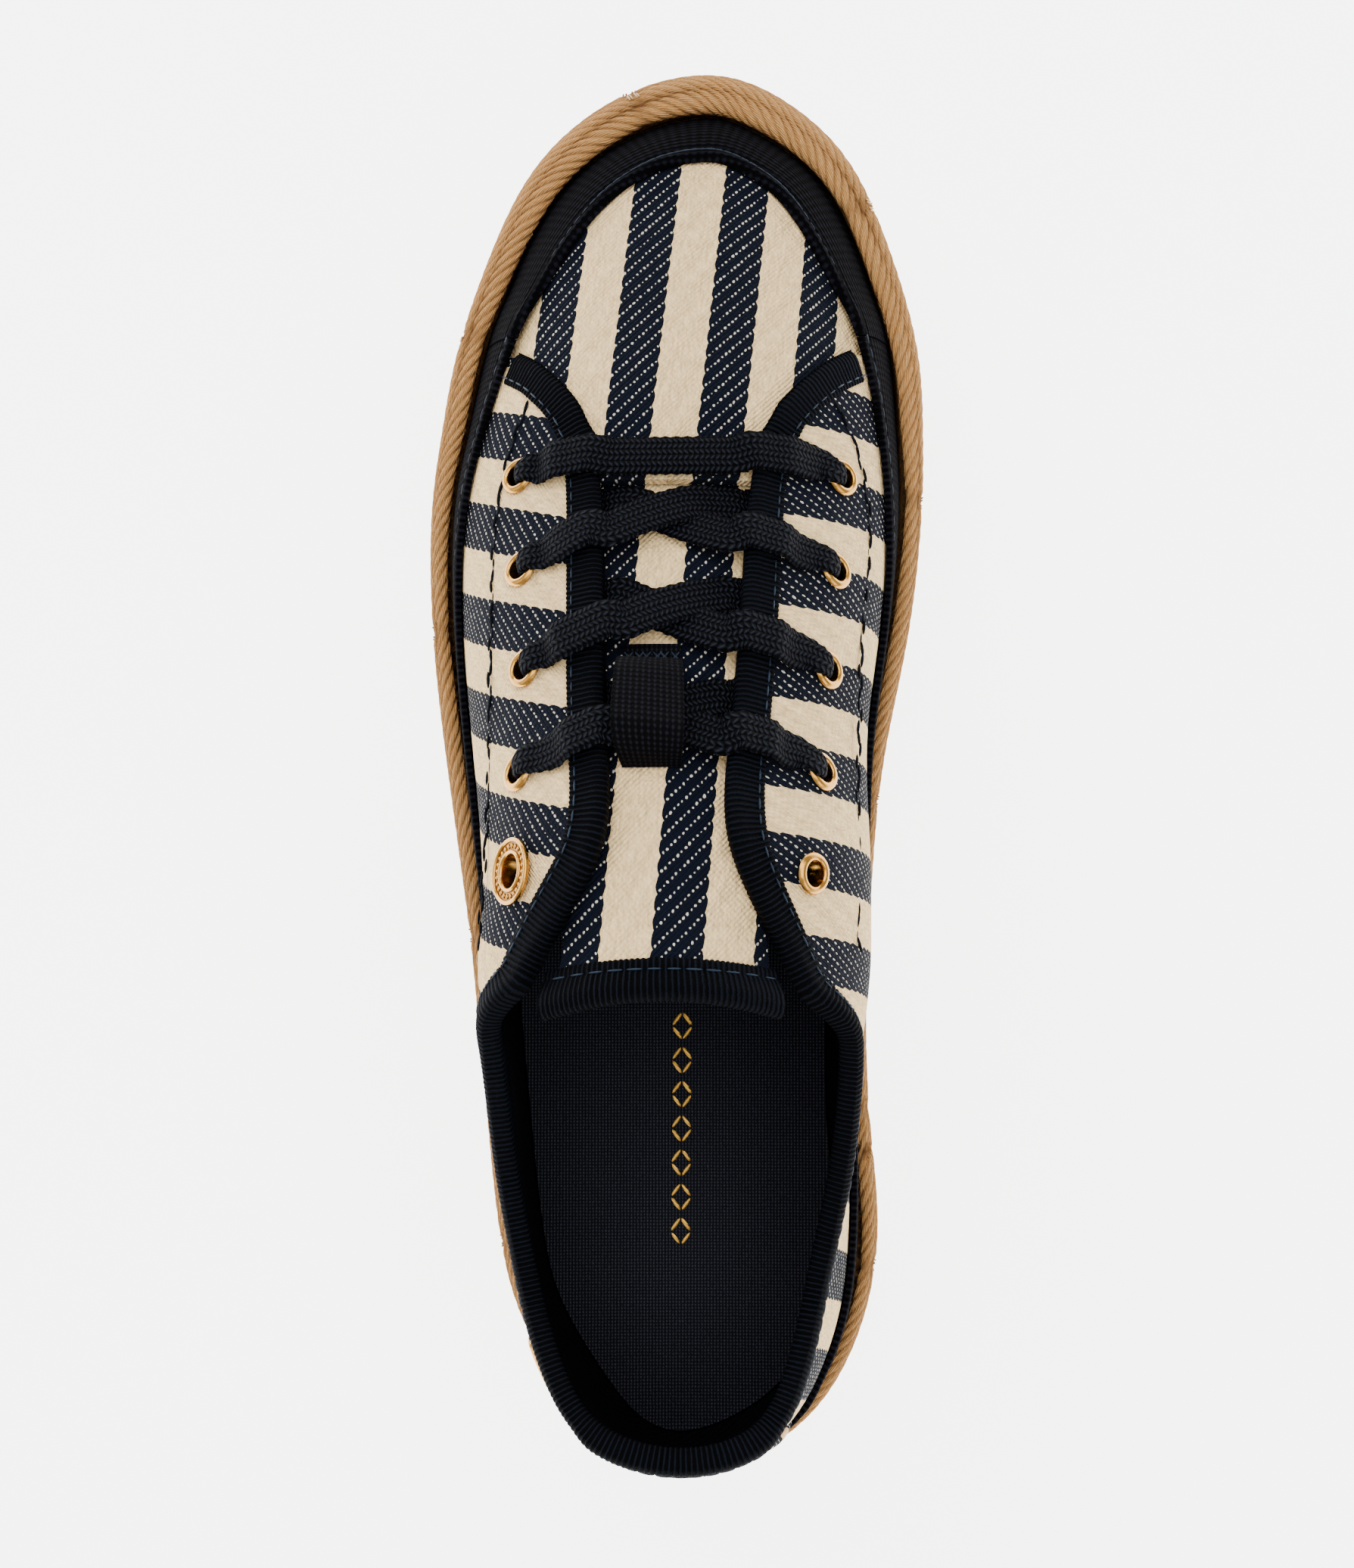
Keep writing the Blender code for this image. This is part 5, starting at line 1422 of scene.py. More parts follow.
@dataclass
class Upper:
    """The hollow canvas wall with its twill lining, and the piped edge of its heel patch."""

    rows: int = 30
    high: int = 10
    patch_columns: int = 12
    quarter_columns: int = 74
    flap_columns: int = 12
    vamp_columns: int = 40

    def columns(self, shares: Array) -> Array:
        """Places round the shoe at each share of the wall's height, toe to heel to toe."""
        sides = []
        for side in (Side.MEDIAL, Side.LATERAL):
            patch, front = LAST.patch_limit(shares), LAST.quarter_front(shares, side)
            throat = np.full(len(shares), THROAT_FRONT)
            run = [patch * k for k in np.linspace(0, 1, self.patch_columns)]
            start = patch + 0.03
            run += [start + (throat - start) * k for k in np.linspace(0, 1, self.quarter_columns + 1)[:-1]]
            run += [throat + (front - throat) * k for k in np.linspace(0, 1, self.flap_columns)]
            ahead = front + STEP_RUN / SECTION_RUN
            run += [ahead + (TOE - ahead) * k for k in np.linspace(0, 1, self.vamp_columns)]
            sides.append(np.array(run) * side.value)
        return np.concatenate([sides[0][:0:-1], sides[1]])

    @staticmethod
    def ridge_line() -> Array:
        """Points down the middle of instep and vamp, toe last, with the length along them."""
        points = np.array([[r.x, r.y, r.z] for r in RIDGES])
        down = np.linspace(1, 0.05, 20)[1:]
        points = np.concatenate([points, LAST.skin(np.full(down.shape, float(TOE)), down)])
        return np.column_stack([points, run_of(points)])

    def vamp_cloth(self, points: Array) -> Array:
        """Cloth places on the vamp: u from the middle of a navy stripe, v towards the toe."""
        line = self.ridge_line()
        x, z, run = (np.interp(points[..., 1], line[:, 1], line[:, k]) for k in (0, 2, 3))
        across = np.hypot(points[..., 0] - x, points[..., 2] - z) * np.sign(points[..., 0] - x)
        u = (across + x - (4.3 + 0.105 * (points[..., 1] - 60))) * REPEAT / VAMP_REPEAT - HALF_NAVY
        return np.stack([u, run], axis=-1)

    @staticmethod
    def quarter_cloth(points: Array, height: Array, side: Side) -> Array:
        """Cloth places on a quarter, whose stripes climb to the toe medially, to the heel laterally."""
        turn = (14.0, 11.0, 6.0, 3.0) if side is Side.MEDIAL else (0.0, -5.0, -9.0, -13.0)
        lean = np.interp(points[..., 1], (-110, -60, 0, 40), np.radians(turn))
        y = points[..., 1] - (height - 15) * np.tan(lean)
        if side is Side.LATERAL:
            u = (59.8 - y) * REPEAT / LATERAL_REPEAT - HALF_NAVY
        else:
            # The cloth is eased at the instep and stretched round the heel
            y = y + np.interp(points[..., 1], (-60, 15, 60), (-2.0, 1.1, 0.0))
            u = 4.25 - (66.75 - y) * REPEAT / MEDIAL_REPEAT
        # The rows of floats lie less steep here, and closer on the lateral side
        rise = 1.0 if side is Side.MEDIAL else 1.12
        return np.stack([u, rise * height / np.cos(lean) - 0.45 * u], axis=-1)

    @staticmethod
    def patch_cloth(points: Array, height: Array) -> Array:
        """Cloth places on the heel patch, whose stripes run round the heel."""
        return np.stack([height - PATCH_SHIFT, plain_cloth(points)[..., 1]], axis=-1)

    def build(self) -> None:
        """Makes the wall, its eyelet holes and the patch's piping."""
        shares = np.linspace(0, 1, self.rows)
        columns = self.columns(shares)
        crests = LAST.crest(columns)
        middle = len(columns) // 2
        index = np.arange(len(columns)) - middle
        patch_end = self.patch_columns - 1
        front_end = patch_end + self.quarter_columns + self.flap_columns
        levels = np.where(abs(index) <= front_end, QUARTER_STEP, 0.0)
        levels = (levels + np.where(abs(index) <= patch_end, PATCH_STEP, 0.0))[:, None] + 0 * columns
        v = crests * shares
        outer, inner = LAST.layer(columns, v, levels), LAST.layer(columns, v, -WALL)
        height = plain_cloth(LAST.skin(columns, v))[..., 0] - LAST.handles(columns)[..., FOXING_REACH]
        for grid in (outer, inner):
            grid[0] = grid[-1] = (grid[0] + grid[-1]) / 2

        def part(low: int, high: int) -> slice:
            """Columns from one place to another, both counted from the heel."""
            return slice(middle + low, middle + high + 1)

        heel = part(-patch_end - 1, patch_end + 1)
        patches = [Patch(outer[heel], self.patch_cloth(outer[heel], height[heel]))]
        for side, quarter, vamp in (
            (Side.LATERAL, part(patch_end + 1, front_end + 1), part(front_end + 1, middle)),
            (Side.MEDIAL, part(-front_end - 1, -patch_end - 1), part(-middle, -front_end - 1)),
        ):
            cloth = self.quarter_cloth(outer[quarter], height[quarter], side)
            patches.append(Patch(outer[quarter], cloth))
            patches.append(Patch(outer[vamp], self.vamp_cloth(outer[vamp])))
        lining = np.stack([columns * SECTION_RUN, height], axis=-1)
        foot = np.stack([outer[:, 0], inner[:, 0]], axis=1)
        patches += [Patch(inner, lining, 1), Patch(foot)]
        throat = patch_end + 1 + self.quarter_columns
        edge = part(-throat, throat)
        rim = np.stack([outer[edge, -1], inner[edge, -1]], axis=1)
        patches.append(Patch(rim, finish=1))
        patches += self.tops(columns, crests, outer, inner, middle, throat)
        piece = make_body("canvas_upper", patches, [CANVAS, LINING])
        self.punch(piece)
        settle(piece, "cream_canvas", "upper")
        self.piping(columns, crests, middle, patch_end)

    def tops(
        self, columns: Array, crests: Array, outer: Array, inner: Array, middle: int, throat: int
    ) -> list[Patch]:
        """The vamp between the quarters, from their top edges to the ridge.

        Args:
            columns: Places round the shoe.
            crests: v of the quarter's top edge at each.
            outer: The wall's outer face.
            inner: The wall's inner face.
            middle: Which column is the heel's.
            throat: How many columns from it the throat ends.

        Returns:
            The grids, which meet the wall's and each other.
        """
        lateral = list(range(middle + throat, len(columns)))
        medial = list(range(middle - throat, -1, -1))
        pairs = []
        for side in (lateral, medial):
            a = columns[side, -1]
            start = crests[side, -1]
            steps = np.linspace(0, 1, self.high)
            rows = start[:, None] + 0.008 + (0.992 - start)[:, None] * steps
            rows[:, -1] = 1.0
            spread = np.repeat(a[:, None], self.high, axis=1)
            over, under = LAST.skin(spread, rows), LAST.layer(spread, rows, -WALL)
            pairs.append([np.concatenate([outer[side, -1][:, None], over], axis=1),
                          np.concatenate([inner[side, -1][:, None], under], axis=1)])
        for left, right in zip(*pairs):
            left[:, -1] = right[:, -1] = (left[:, -1] + right[:, -1]) / 2
            left[-1] = right[-1] = (left[-1] + right[-1]) / 2
        patches = []
        for over, under in pairs:
            end = np.stack([over[0], under[0]], axis=1)
            patches += [Patch(over, self.vamp_cloth(over)), Patch(under, under[..., :2], 1),
                        Patch(end, self.vamp_cloth(end))]
        return patches

    @staticmethod
    def punch(piece: Piece) -> None:
        """Cuts the eyelet holes through the quarters."""
        bm = bmesh.new()
        for eyelet in EYELETS:
            wide = WIDE_HOLE_RADIUS if eyelet is EYELETS[-1] else HOLE_RADIUS
            for x, hole in ((eyelet.lateral, wide), (eyelet.medial, HOLE_RADIUS)):
                at, normal = LAST.stand(x, eyelet.y)
                turn = Vector(normal).to_track_quat("Z", "Y").to_matrix().to_4x4()
                turn.translation = Vector(metres(at))
                bmesh.ops.create_cone(bm, cap_ends=True, segments=32, radius1=hole * MM,
                                      radius2=hole * MM, depth=14 * MM, matrix=turn)
        mesh = bpy.data.meshes.new("eyelet_punches")
        bm.to_mesh(mesh)
        bm.free()
        punches = placed("eyelet_punches", mesh)
        cut = piece.modifiers.new("holes", "BOOLEAN")
        cut.operation, cut.solver, cut.object = "DIFFERENCE", "EXACT", punches
        made = evaluated(piece)
        piece.modifiers.clear()
        piece.data = made
        bpy.data.objects.remove(punches, do_unlink=True)

    def piping(self, columns: Array, crests: Array, middle: int, patch_end: int) -> None:
        """The rolled edges of the heel patch."""
        patches = []
        for k in (middle - patch_end, middle + patch_end):
            a, v = columns[k], crests[k] * np.linspace(0, 1, self.rows)
            keep = v > 0.12
            a, v = a[keep], v[keep]
            points = LAST.layer(a, v, QUARTER_STEP + PATCH_STEP + 0.05)
            rows = np.column_stack([points, LAST.outward(a, v), np.full((len(a), 2), (0.75, 0.55))])
            rows = threaded(rows, 0.8)
            grid, cloth = ribbon(rows, 12, 0.9)
            start = float(np.linalg.norm(points[0] - LAST.skin(a[0], 0.0))) - FEET[0].foxing
            rise = run_of(rows[:, :3]) + start - PATCH_SHIFT
            cloth = np.stack([np.repeat(rise[:, None], 13, 1), cloth[..., 0]], axis=-1)
            patches.append(Patch(grid, cloth, capped=True))
        settle(make_body("heel_patch_piping", patches, [CANVAS]), "cream_canvas")


@dataclass
class CollarBinding:
    """Ribbed tape folded over the quarters' edges, round throat and collar."""

    pitch: float = 0.95
    depth: float = 0.22
    spacing: float = 0.24
    stitch_in: float = 1.1

    @staticmethod
    def path() -> Array:
        """Places along the quarter's edge: up the lateral front, round the collar, and down."""
        fine = np.linspace(0.3, 1.0, 141)
        runs = []
        for side in Side:
            fronts = LAST.quarter_front(fine, side) * side.value
            clear = fine * LAST.crest(fronts) > LAST.foxing_top(fronts) + 0.05
            shares = np.linspace(fine[clear][0], 1.0, 20)
            fronts = LAST.quarter_front(shares, side) * side.value
            run = list(zip(fronts, shares * LAST.crest(fronts)))
            edge = np.linspace(abs(fronts[-1]), 0, 130)[1:-1] * side.value
            run += list(zip(edge, LAST.crest(edge)))
            runs.append(run)
        return np.array(runs[0] + [(0.0, 1.0)] + runs[1][::-1])

    def section(self, a: float) -> tuple[Array, Array, float]:
        """The tape's section at a place.

        Args:
            a: The place round the shoe.

        Returns:
            Distances in from the quarter's edge, heights over the last, and the height of the face.
        """
        step = QUARTER_STEP + PATCH_STEP * (1 - ease((abs(a) - PATCH_TOP - 0.25) / 0.5))
        low = step + GAP - 0.1
        top = step + BINDING_THICK
        shut = float(ease((THROAT_FRONT - 0.1 - abs(a)) / 0.25))
        under = (GAP + 0.05) * (1 - shut) + (-WALL - 0.3) * shut
        leg = 3.4 * shut - 0.6 * (1 - shut)
        middle = (top + under) / 2
        over = BINDING_OVER
        section = (
            (5.0, low), (5.05, low + 0.25), (4.9, top - 0.25), (4.5, top - 0.1), (3.4, top - 0.05),
            (2.0, top), (0.9, top + 0.05), (0.1, top - 0.05), (-0.55, top - 0.3), (-1.0, top - 0.7),
            (-over, (top + middle) / 2), (-over, middle), (-over + 0.1, (middle + under) / 2),
            (-0.9, under - 0.1 * shut), (-0.45, under - 0.3 * shut), (0.3 * shut - 0.4, under - 0.4 * shut),
            (leg, under - 0.4 * shut), (leg + 0.15 * shut, under - 0.1 * shut), (-0.3, under + 0.05),
            (-0.3, low),
        )
        inward, heights = np.array(section).T
        # The medial side of the heel shows less of the outer leg
        narrow = 1 - 0.48 * ease((-a - 0.9) / 1.4) * ease((8.5 + a) / 2.5)
        return np.where(inward > 0, inward * narrow, inward), heights, top

    def build(self) -> None:
        """Makes the tape with its ribs, the stitches that hold it and its front ends."""
        path = self.path()
        points = LAST.skin(path[:, 0], path[:, 1])
        along = unit(np.gradient(points, axis=0))
        rings, seam, ups = [], [], []
        for (a, v), point, tangent in zip(path, points, along):
            normal = LAST.outward(a, v)
            away = unit(np.cross(tangent, normal))
            foot = LAST.foot_of(point + BINDING_WIDTH * away, a, v)
            face, lean = LAST.skin(*foot), LAST.outward(*foot)
            inward, heights, top = self.section(float(a))
            share = np.clip(inward / BINDING_WIDTH, 0, 1)[:, None]
            base = point + share * (face - point) + np.minimum(inward, 0)[:, None] * away
            up = unit(normal * (1 - share) + lean * share)
            rings.append(base + up * heights[:, None])
            share = inward[0] / BINDING_WIDTH - self.stitch_in / BINDING_WIDTH
            up = unit(normal * (1 - share) + lean * share)
            seam.append(point + share * (face - point) + up * (top - 0.1))
            ups.append(up)
        rings = np.array(rings)
        rings = np.concatenate([rings, rings[:, :1]], axis=1)
        run = run_of(rings[:, 5])
        fine = np.linspace(0, run[-1], int(run[-1] / self.spacing))
        flat = rings.reshape(len(rings), -1)
        flat = np.stack([np.interp(fine, run, column) for column in flat.T], axis=1)
        grid = flat.reshape(len(fine), rings.shape[1], 3)
        patch = Patch(grid, across_along(run_of(rings[20]), fine), capped=True)
        piece = make_body("collar_tape", [patch], [TAPE], sharp=80, weld=0.01)
        settle(ribbed(piece, self.pitch, self.depth), "navy_tape", "collar_binding")
        rows = threaded(np.column_stack([seam, ups]), 2.7)
        along = unit(np.gradient(rows[:, :3], axis=0))
        row = StitchRow(2.1, 0.32, 0.34, 0.15)
        row.lay("collar_tape_stitches", rows[:, :3], along, unit(rows[:, 3:]), BLUE_THREAD, "navy_tape")


@dataclass
class Tongue:
    """Striped tongue with a bound end, the loop that holds the laces, and its stitches."""

    pitch: float = 0.95
    arch: float = 2.3
    loop_thick: float = 0.75

    @staticmethod
    def shape(y: Array | float) -> Array:
        """Centre, height, half width and drop of the tongue at y."""
        table = np.array(TONGUE_ROWS)
        return np.moveaxis(cubic(y, table[:, 0], table[:, 1:]), -1, 0)

    @classmethod
    def top(cls, y: Array, across: Array) -> Array:
        """Points on the tongue's top surface, across from -1 to 1."""
        x, z, half, drop = cls.shape(y)
        width = half * across
        return np.stack([x + width, y + 0 * width, z - drop * (width / 20.0) ** 2], axis=-1)

    @classmethod
    def up(cls, y: Array, across: Array) -> Array:
        """Normals of the tongue's top surface."""
        step = 0.01
        along = cls.top(y + step, across) - cls.top(y - step, across)
        side = cls.top(y, across + step) - cls.top(y, across - step)
        return unit(np.cross(side, along))

    @classmethod
    def layer(cls, y: Array, across: Array, height: Array | float) -> Array:
        """Points at a height over the tongue's top surface."""
        y, across = np.broadcast_arrays(np.asarray(y, float), np.asarray(across, float))
        return cls.top(y, across) + cls.up(y, across) * np.asarray(height, float)[..., None]

    def build(self) -> None:
        """Makes the tongue and what is sewn to it."""
        self.body()
        self.binding()
        self.loop()

    def body(self) -> None:
        """The tongue itself: canvas above, twill below, with a turned edge."""
        ys = np.linspace(TONGUE_ROWS[0].y, TONGUE_ROWS[-1].y - 1, 70)
        across = np.linspace(-1, 1, 41)
        y, x = np.meshgrid(ys, across, indexing="ij")
        crown = 0.25 * (1 - x**8)
        upper = self.layer(y, x * 0.985, crown - 0.25)
        lower = self.layer(y, x * 0.985, -TONGUE + 0.2 - crown * 0.5)
        edge, other = (self.layer(ys, side, -TONGUE / 2)[:, None] for side in (1, -1))
        u = (upper[..., 0] - (-3.3 + 0.084 * (y + 30))) * REPEAT / VAMP_REPEAT - 3.9
        cloth = np.stack([u, y], axis=-1)
        patches = [Patch(upper, cloth), Patch(lower, lower[..., :2], 1)]
        for turned, k in ((edge, slice(-1, None)), (other, slice(0, 1))):
            patches.append(Patch(np.concatenate([upper[:, k], turned, lower[:, k]], axis=1), finish=1))
        caps = [np.concatenate([upper[k], edge[k], lower[k, ::-1], other[k]]) for k in (0, -1)]
        settle(make_body("striped_tongue", patches, [CANVAS, LINING], caps), "cream_canvas", "tongue")

    def binding(self) -> None:
        """Ribbed tape folded over the tongue's end, with a line of stitches."""
        end = TONGUE_ROWS[0].y
        wide = end + TONGUE_TAPE_WIDTH
        profile = (
            (end + 0.3, 0.25), (wide, 0.2), (wide + 0.1, 0.6), (wide - 0.3, 0.95), (wide - 1.2, 1.0),
            (wide - 1.7, 0.85), (wide - 2.2, 1.1), (wide - 4.0, 1.35), (end + 0.8, 1.35), (end - 0.2, 1.0),
            (end - 0.9, 0.2), (end - 1.15, -0.8), (end - 0.9, -1.9), (end - 0.2, -2.6), (end + 1.0, -2.9),
            (end + 3.0, -2.8), (end + 3.1, -2.3), (end - 0.1, -2.05), (end - 0.3, -0.8),
        )
        across = np.linspace(-1.1, 1.04, 176)
        y, height = np.array(profile).T
        y, a = np.meshgrid(y, across)
        arch = np.array((0.0, -self.arch, 0.2 * self.arch))
        grid = self.layer(y, a, np.tile(height, (len(across), 1))) + a[..., None] ** 2 * arch
        grid = np.concatenate([grid, grid[:, :1]], axis=1)
        patch = Patch(grid, across_along(run_of(grid[80]), run_of(grid[:, 4])), capped=True)
        piece = make_body("tongue_tape", [patch], [TAPE], sharp=80)
        settle(ribbed(piece, self.pitch, 0.22), "navy_tape", "tongue_binding")
        across = np.linspace(-0.95, 0.95, 12)
        spots = self.layer(wide - 1.7, across, 0.92) + across[:, None] ** 2 * arch
        along = unit(np.gradient(spots, axis=0))
        ups = self.up(wide - 1.7, across)
        row = StitchRow(2.6, 0.36, 0.36, 0.12)
        row.lay("tongue_tape_stitches", spots, along, ups, BLUE_THREAD, "navy_tape")

    def loop(self) -> None:
        """A strip of tape sewn down at one end, arched over the laces, and tucked at the other."""
        ys = np.array((16.2, 13.4, 11.4, 9.6, 6.0, 2.0, -1.5, -3.0, -4.2))
        heights = np.array((0.0, 0.0, 3.2, 4.6, 5.4, 5.8, 5.7, 4.4, 0.0))
        across = np.linspace(0, 1, 17)
        rows = []
        for y, height in zip(ys, heights):
            x, _, half, _ = self.shape(y)
            share = (LOOP_LATERAL + (LOOP_MEDIAL - LOOP_LATERAL) * across - x) / half
            lift = height * (1.45 - 0.45 * across) + GAP + 0.1
            rows.append(np.concatenate([self.layer(y, share, lift), self.up(y, share)], axis=-1))
        rows = np.array(rows)
        run = run_of(rows[:, 8, :3])
        fine = np.linspace(0, run[-1], 60)
        low = cubic(fine, run, rows)[..., :3]
        normal = unit(np.cross(np.gradient(low, axis=1), np.gradient(low, axis=0)))
        normal *= np.sign(normal[30, 8, 2])
        high = low + normal * self.loop_thick
        grid = np.concatenate([low, high[:, ::-1], low[:, :1]], axis=1)
        u = np.concatenate([across * 10.6, across[::-1] * 10.6, across[:1]])
        patch = Patch(grid, across_along(u, fine), capped=True)
        settle(make_body("lace_loop", [patch], [LOOP_TAPE]), "navy_tape", "tongue_loop")
        spots, ways, ups = [], [], []
        for line in (4, 9):
            for k, share in enumerate(np.linspace(1, 15, 12)):
                j = int(round(share))
                spots.append(high[line, j] + 0.1 * normal[line, j])
                turn = 0.9 if (k + line) % 2 else -0.9
                ways.append((math.cos(turn), math.sin(turn), 0.0))
                ups.append(normal[line, j])
        row = StitchRow(1.5, 0.3, 0.3, 0.1)
        row.lay("lace_loop_stitches", spots, ways, ups, BLUE_THREAD, "navy_tape")


@dataclass
class Insole:
    """Twill-covered sock on the inside, dished under the heel, with a row of gilt lozenges."""

    dish: float = 1.0
    lozenges: int = 7
    first: float = -50.5
    pitch: float = 6.4

    def surface(self) -> Array:
        """Top points of the sock, heel to toe."""
        places = np.linspace(0.04, TOE - 0.04, 130)
        left, right = (
            LAST.layer(a, LAST.along_section(a, INSOLE_TOP - FEATHER), -WALL - GAP - 0.25)
            for a in (places, LOOP - places)
        )
        share = (1 - np.cos(np.linspace(0, np.pi, 33))) / 2
        points = left[:, None] * (1 - share[:, None]) + right[:, None] * share[:, None]
        points[..., 2] -= self.dish * np.sin(np.pi * share) ** 0.7 * np.clip(
            np.linalg.norm(right - left, axis=1) / 40, 0, 1)[:, None]
        return points

    def build(self) -> None:
        """Makes the sock and its ornament."""
        top = self.surface()
        under = top - (0, 0, 1.9)
        sides = [np.stack([top[:, k], under[:, k]], axis=1) for k in (0, -1)]
        patches = [Patch(top, top[..., :2]), Patch(under, under[..., :2])]
        patches += [Patch(side) for side in sides]
        caps = [np.concatenate([top[k], under[k, ::-1]]) for k in (0, -1)]
        settle(make_body("twill_sock", patches, [SOCK], caps), "navy_tape", "insole")
        spots, ways = [], []
        for k in range(self.lozenges):
            y = self.first - k * self.pitch
            x = 1.0 - 0.05 * k
            row = top[np.argmin(abs(top[:, 16, 1] - y))]
            z = np.interp(x, row[:, 0], row[:, 2])
            for across, along in ((1, 1), (1, -1), (-1, 1), (-1, -1)):
                spots.append((x + across * 0.95, y + along * 1.3, z + 0.08))
                ways.append(unit(np.array([0.95 * across, -1.3 * along, 0.0])))
        ups = [(0.0, 0.0, 1.0)] * len(spots)
        StitchRow(2.9, 0.75, 0.3, 0.06).lay("gilt_lozenges", spots, ways, ups, GILT, "gold_metal")


@dataclass
class Lacing:
    """Flat braid through the eyelets: a bar across the toe row, then three crosses."""

    spacing: float = 0.475
    scallop: float = 1.9
    pinch_width: float = 1.7
    pinch_thick: float = 0.9

    @staticmethod
    def throat_edge(y: float, side: int) -> float:
        """Distance from the centre plane of the tape's inner face at y, on one side of the throat."""
        column = [r.throat_medial if side > 0 else -r.throat_lateral for r in RIDGES[:5]]
        return float(np.interp(y, [r.y for r in RIDGES[:5]], column)) - BINDING_OVER

    @staticmethod
    def over_quarter(x: float, y: float, margin: float) -> tuple[Array, Array]:
        """Middle of a lace over the quarter, clear of the tape near its edge, and the normal there."""
        a, v = LAST.over_plan(x, y)
        from_edge = float(np.linalg.norm(LAST.skin(a, v) - LAST.skin(a, float(LAST.crest(a)))))
        down = ease((from_edge - BINDING_WIDTH - margin) / 2.0)
        height = QUARTER_STEP + GAP + 0.15 + (BINDING_THICK + GAP + 0.4) * (1 - down)
        return LAST.layer(a, v, height + LACE / 2), LAST.outward(a, v)

    @staticmethod
    def over_tongue(x: float, y: float) -> Array:
        """Lowest place for a lace's middle over the tongue."""
        centre, _, half, _ = Tongue.shape(y)
        return Tongue.layer(y, (x - centre) / half, GAP + 0.2 + LACE / 2)

    def dive(self, x: float, y: float, side: int, out: Array) -> list[Array]:
        """Rows of the braid from beside an eyelet down through it.

        Args:
            x: The eyelet's place in plan.
            y: The eyelet's place in plan.
            side: 1 on the medial side, -1 on the lateral; not used.
            out: Direction that the braid comes in along.

        Returns:
            Rows for ribbon(), the last below the wall.
        """
        at, normal = LAST.stand(x, y)
        out = unit(out - normal * (out @ normal))
        rows = []
        for back, height, turn, width, thick in (
            (2.9, 1.8, 0.15, 2.5, 0.6),
            (1.1, 1.5, 0.7, 1.9, 0.75),
            (0.3, 0.3, 1.3, self.pinch_width, self.pinch_thick),
            (0.1, -1.4, 1.57, self.pinch_width, self.pinch_thick),
            (0.0, -3.6, 1.57, 1.8, 0.8),
        ):
            face = normal * math.cos(turn) + out * math.sin(turn)
            rows.append(np.concatenate([at - out * back + normal * height, face, (width, thick)]))
        return rows

    def under(self, x: float, y: float, toward: float) -> list[Array]:
        """Rows of the braid inside the quarter, from an eyelet to the throat's edge at y = toward."""
        side = 1 if x > 0 else -1
        edge = side * (self.throat_edge(toward, side) + 0.5)
        rows = []
        for share, sink in ((0.1, 1.7), (0.4, 1.1), (0.75, 0.85), (1.0, 0.75)):
            at = (x + (edge - x) * share, y + (toward - y) * share)
            width = self.pinch_width + (LACE_WIDTH / 2 - self.pinch_width) * ease(share * 1.6)
            rows.append(np.concatenate([*LAST.stand(*at, -WALL - sink), (width, LACE / 2)]))
        return rows

    def strand(self, number: int, side: int, level: float) -> Patch:
        """A length of braid from under the far quarter over the tongue into its eyelet.

        Args:
            number: Which row of eyelets it ends at, from 0.
            side: 1 where it ends on the medial side, -1 on the lateral.
            level: How far it is raised between.

        Returns:
            The strand's grid.
        """
        row, before = EYELETS[number], EYELETS[number - 1]
        xs, ys = np.array(LATERAL_STRAND if side < 0 else MEDIAL_STRAND).T
        eyelet = row.medial if side > 0 else row.lateral
        end = eyelet - side * (FLANGE_RADIUS + 0.5)
        start = -side * (self.throat_edge(row.y + ys[0], -side) - 2.2)
        path = np.linspace(start, end, 13)
        order = np.argsort(xs)
        y = np.minimum(row.y + cubic(path, xs[order], ys[order]), THROAT_TOE_Y - 4.2)
        inner = np.array([self.throat_edge(at, side) for at in y])
        near = np.flatnonzero(side * path >= inner - 1.2)
        points, normals = np.zeros((len(path), 3)), np.zeros((len(path), 3))
        for k in near:
            points[k], normals[k] = self.over_quarter(path[k], y[k], 0.4)
        first = near[0]
        low = self.over_tongue(path[0], y[0])
        for k in range(first):
            t = k / first
            floor = self.over_tongue(path[k], y[k])[2]
            height = (1 - t) * low[2] + t * points[first, 2] + level * math.sin(math.pi * t)
            points[k] = path[k], y[k], max(height, floor)
            normals[k] = unit((1 - t) * np.array([-side * 0.2, 0.42, 0.9]) + t * normals[first])
        rows = list(np.column_stack([points, normals, np.full((13, 2), (LACE_WIDTH / 2, LACE / 2))]))
        rows[-1][6:] = 3.1, 0.6
        far = before.lateral if side > 0 else before.medial
        rows = self.under(far, before.y, float(y[0]) + 0.6) + rows
        rows += self.dive(eyelet, row.y, side, points[-1] - points[-3])
        return self.swept(np.array(rows))

    def swept(self, rows: Array) -> Patch:
        """The braid's grid along rows, evenly spaced."""
        rows = threaded(rows, self.spacing)
        rows[:, 3:6] = unit(rows[:, 3:6])
        rows[:, 6] += 0.14 * np.cos(2 * np.pi * run_of(rows[:, :3]) / self.scallop)
        return Patch(*ribbon(rows, 20), capped=True)

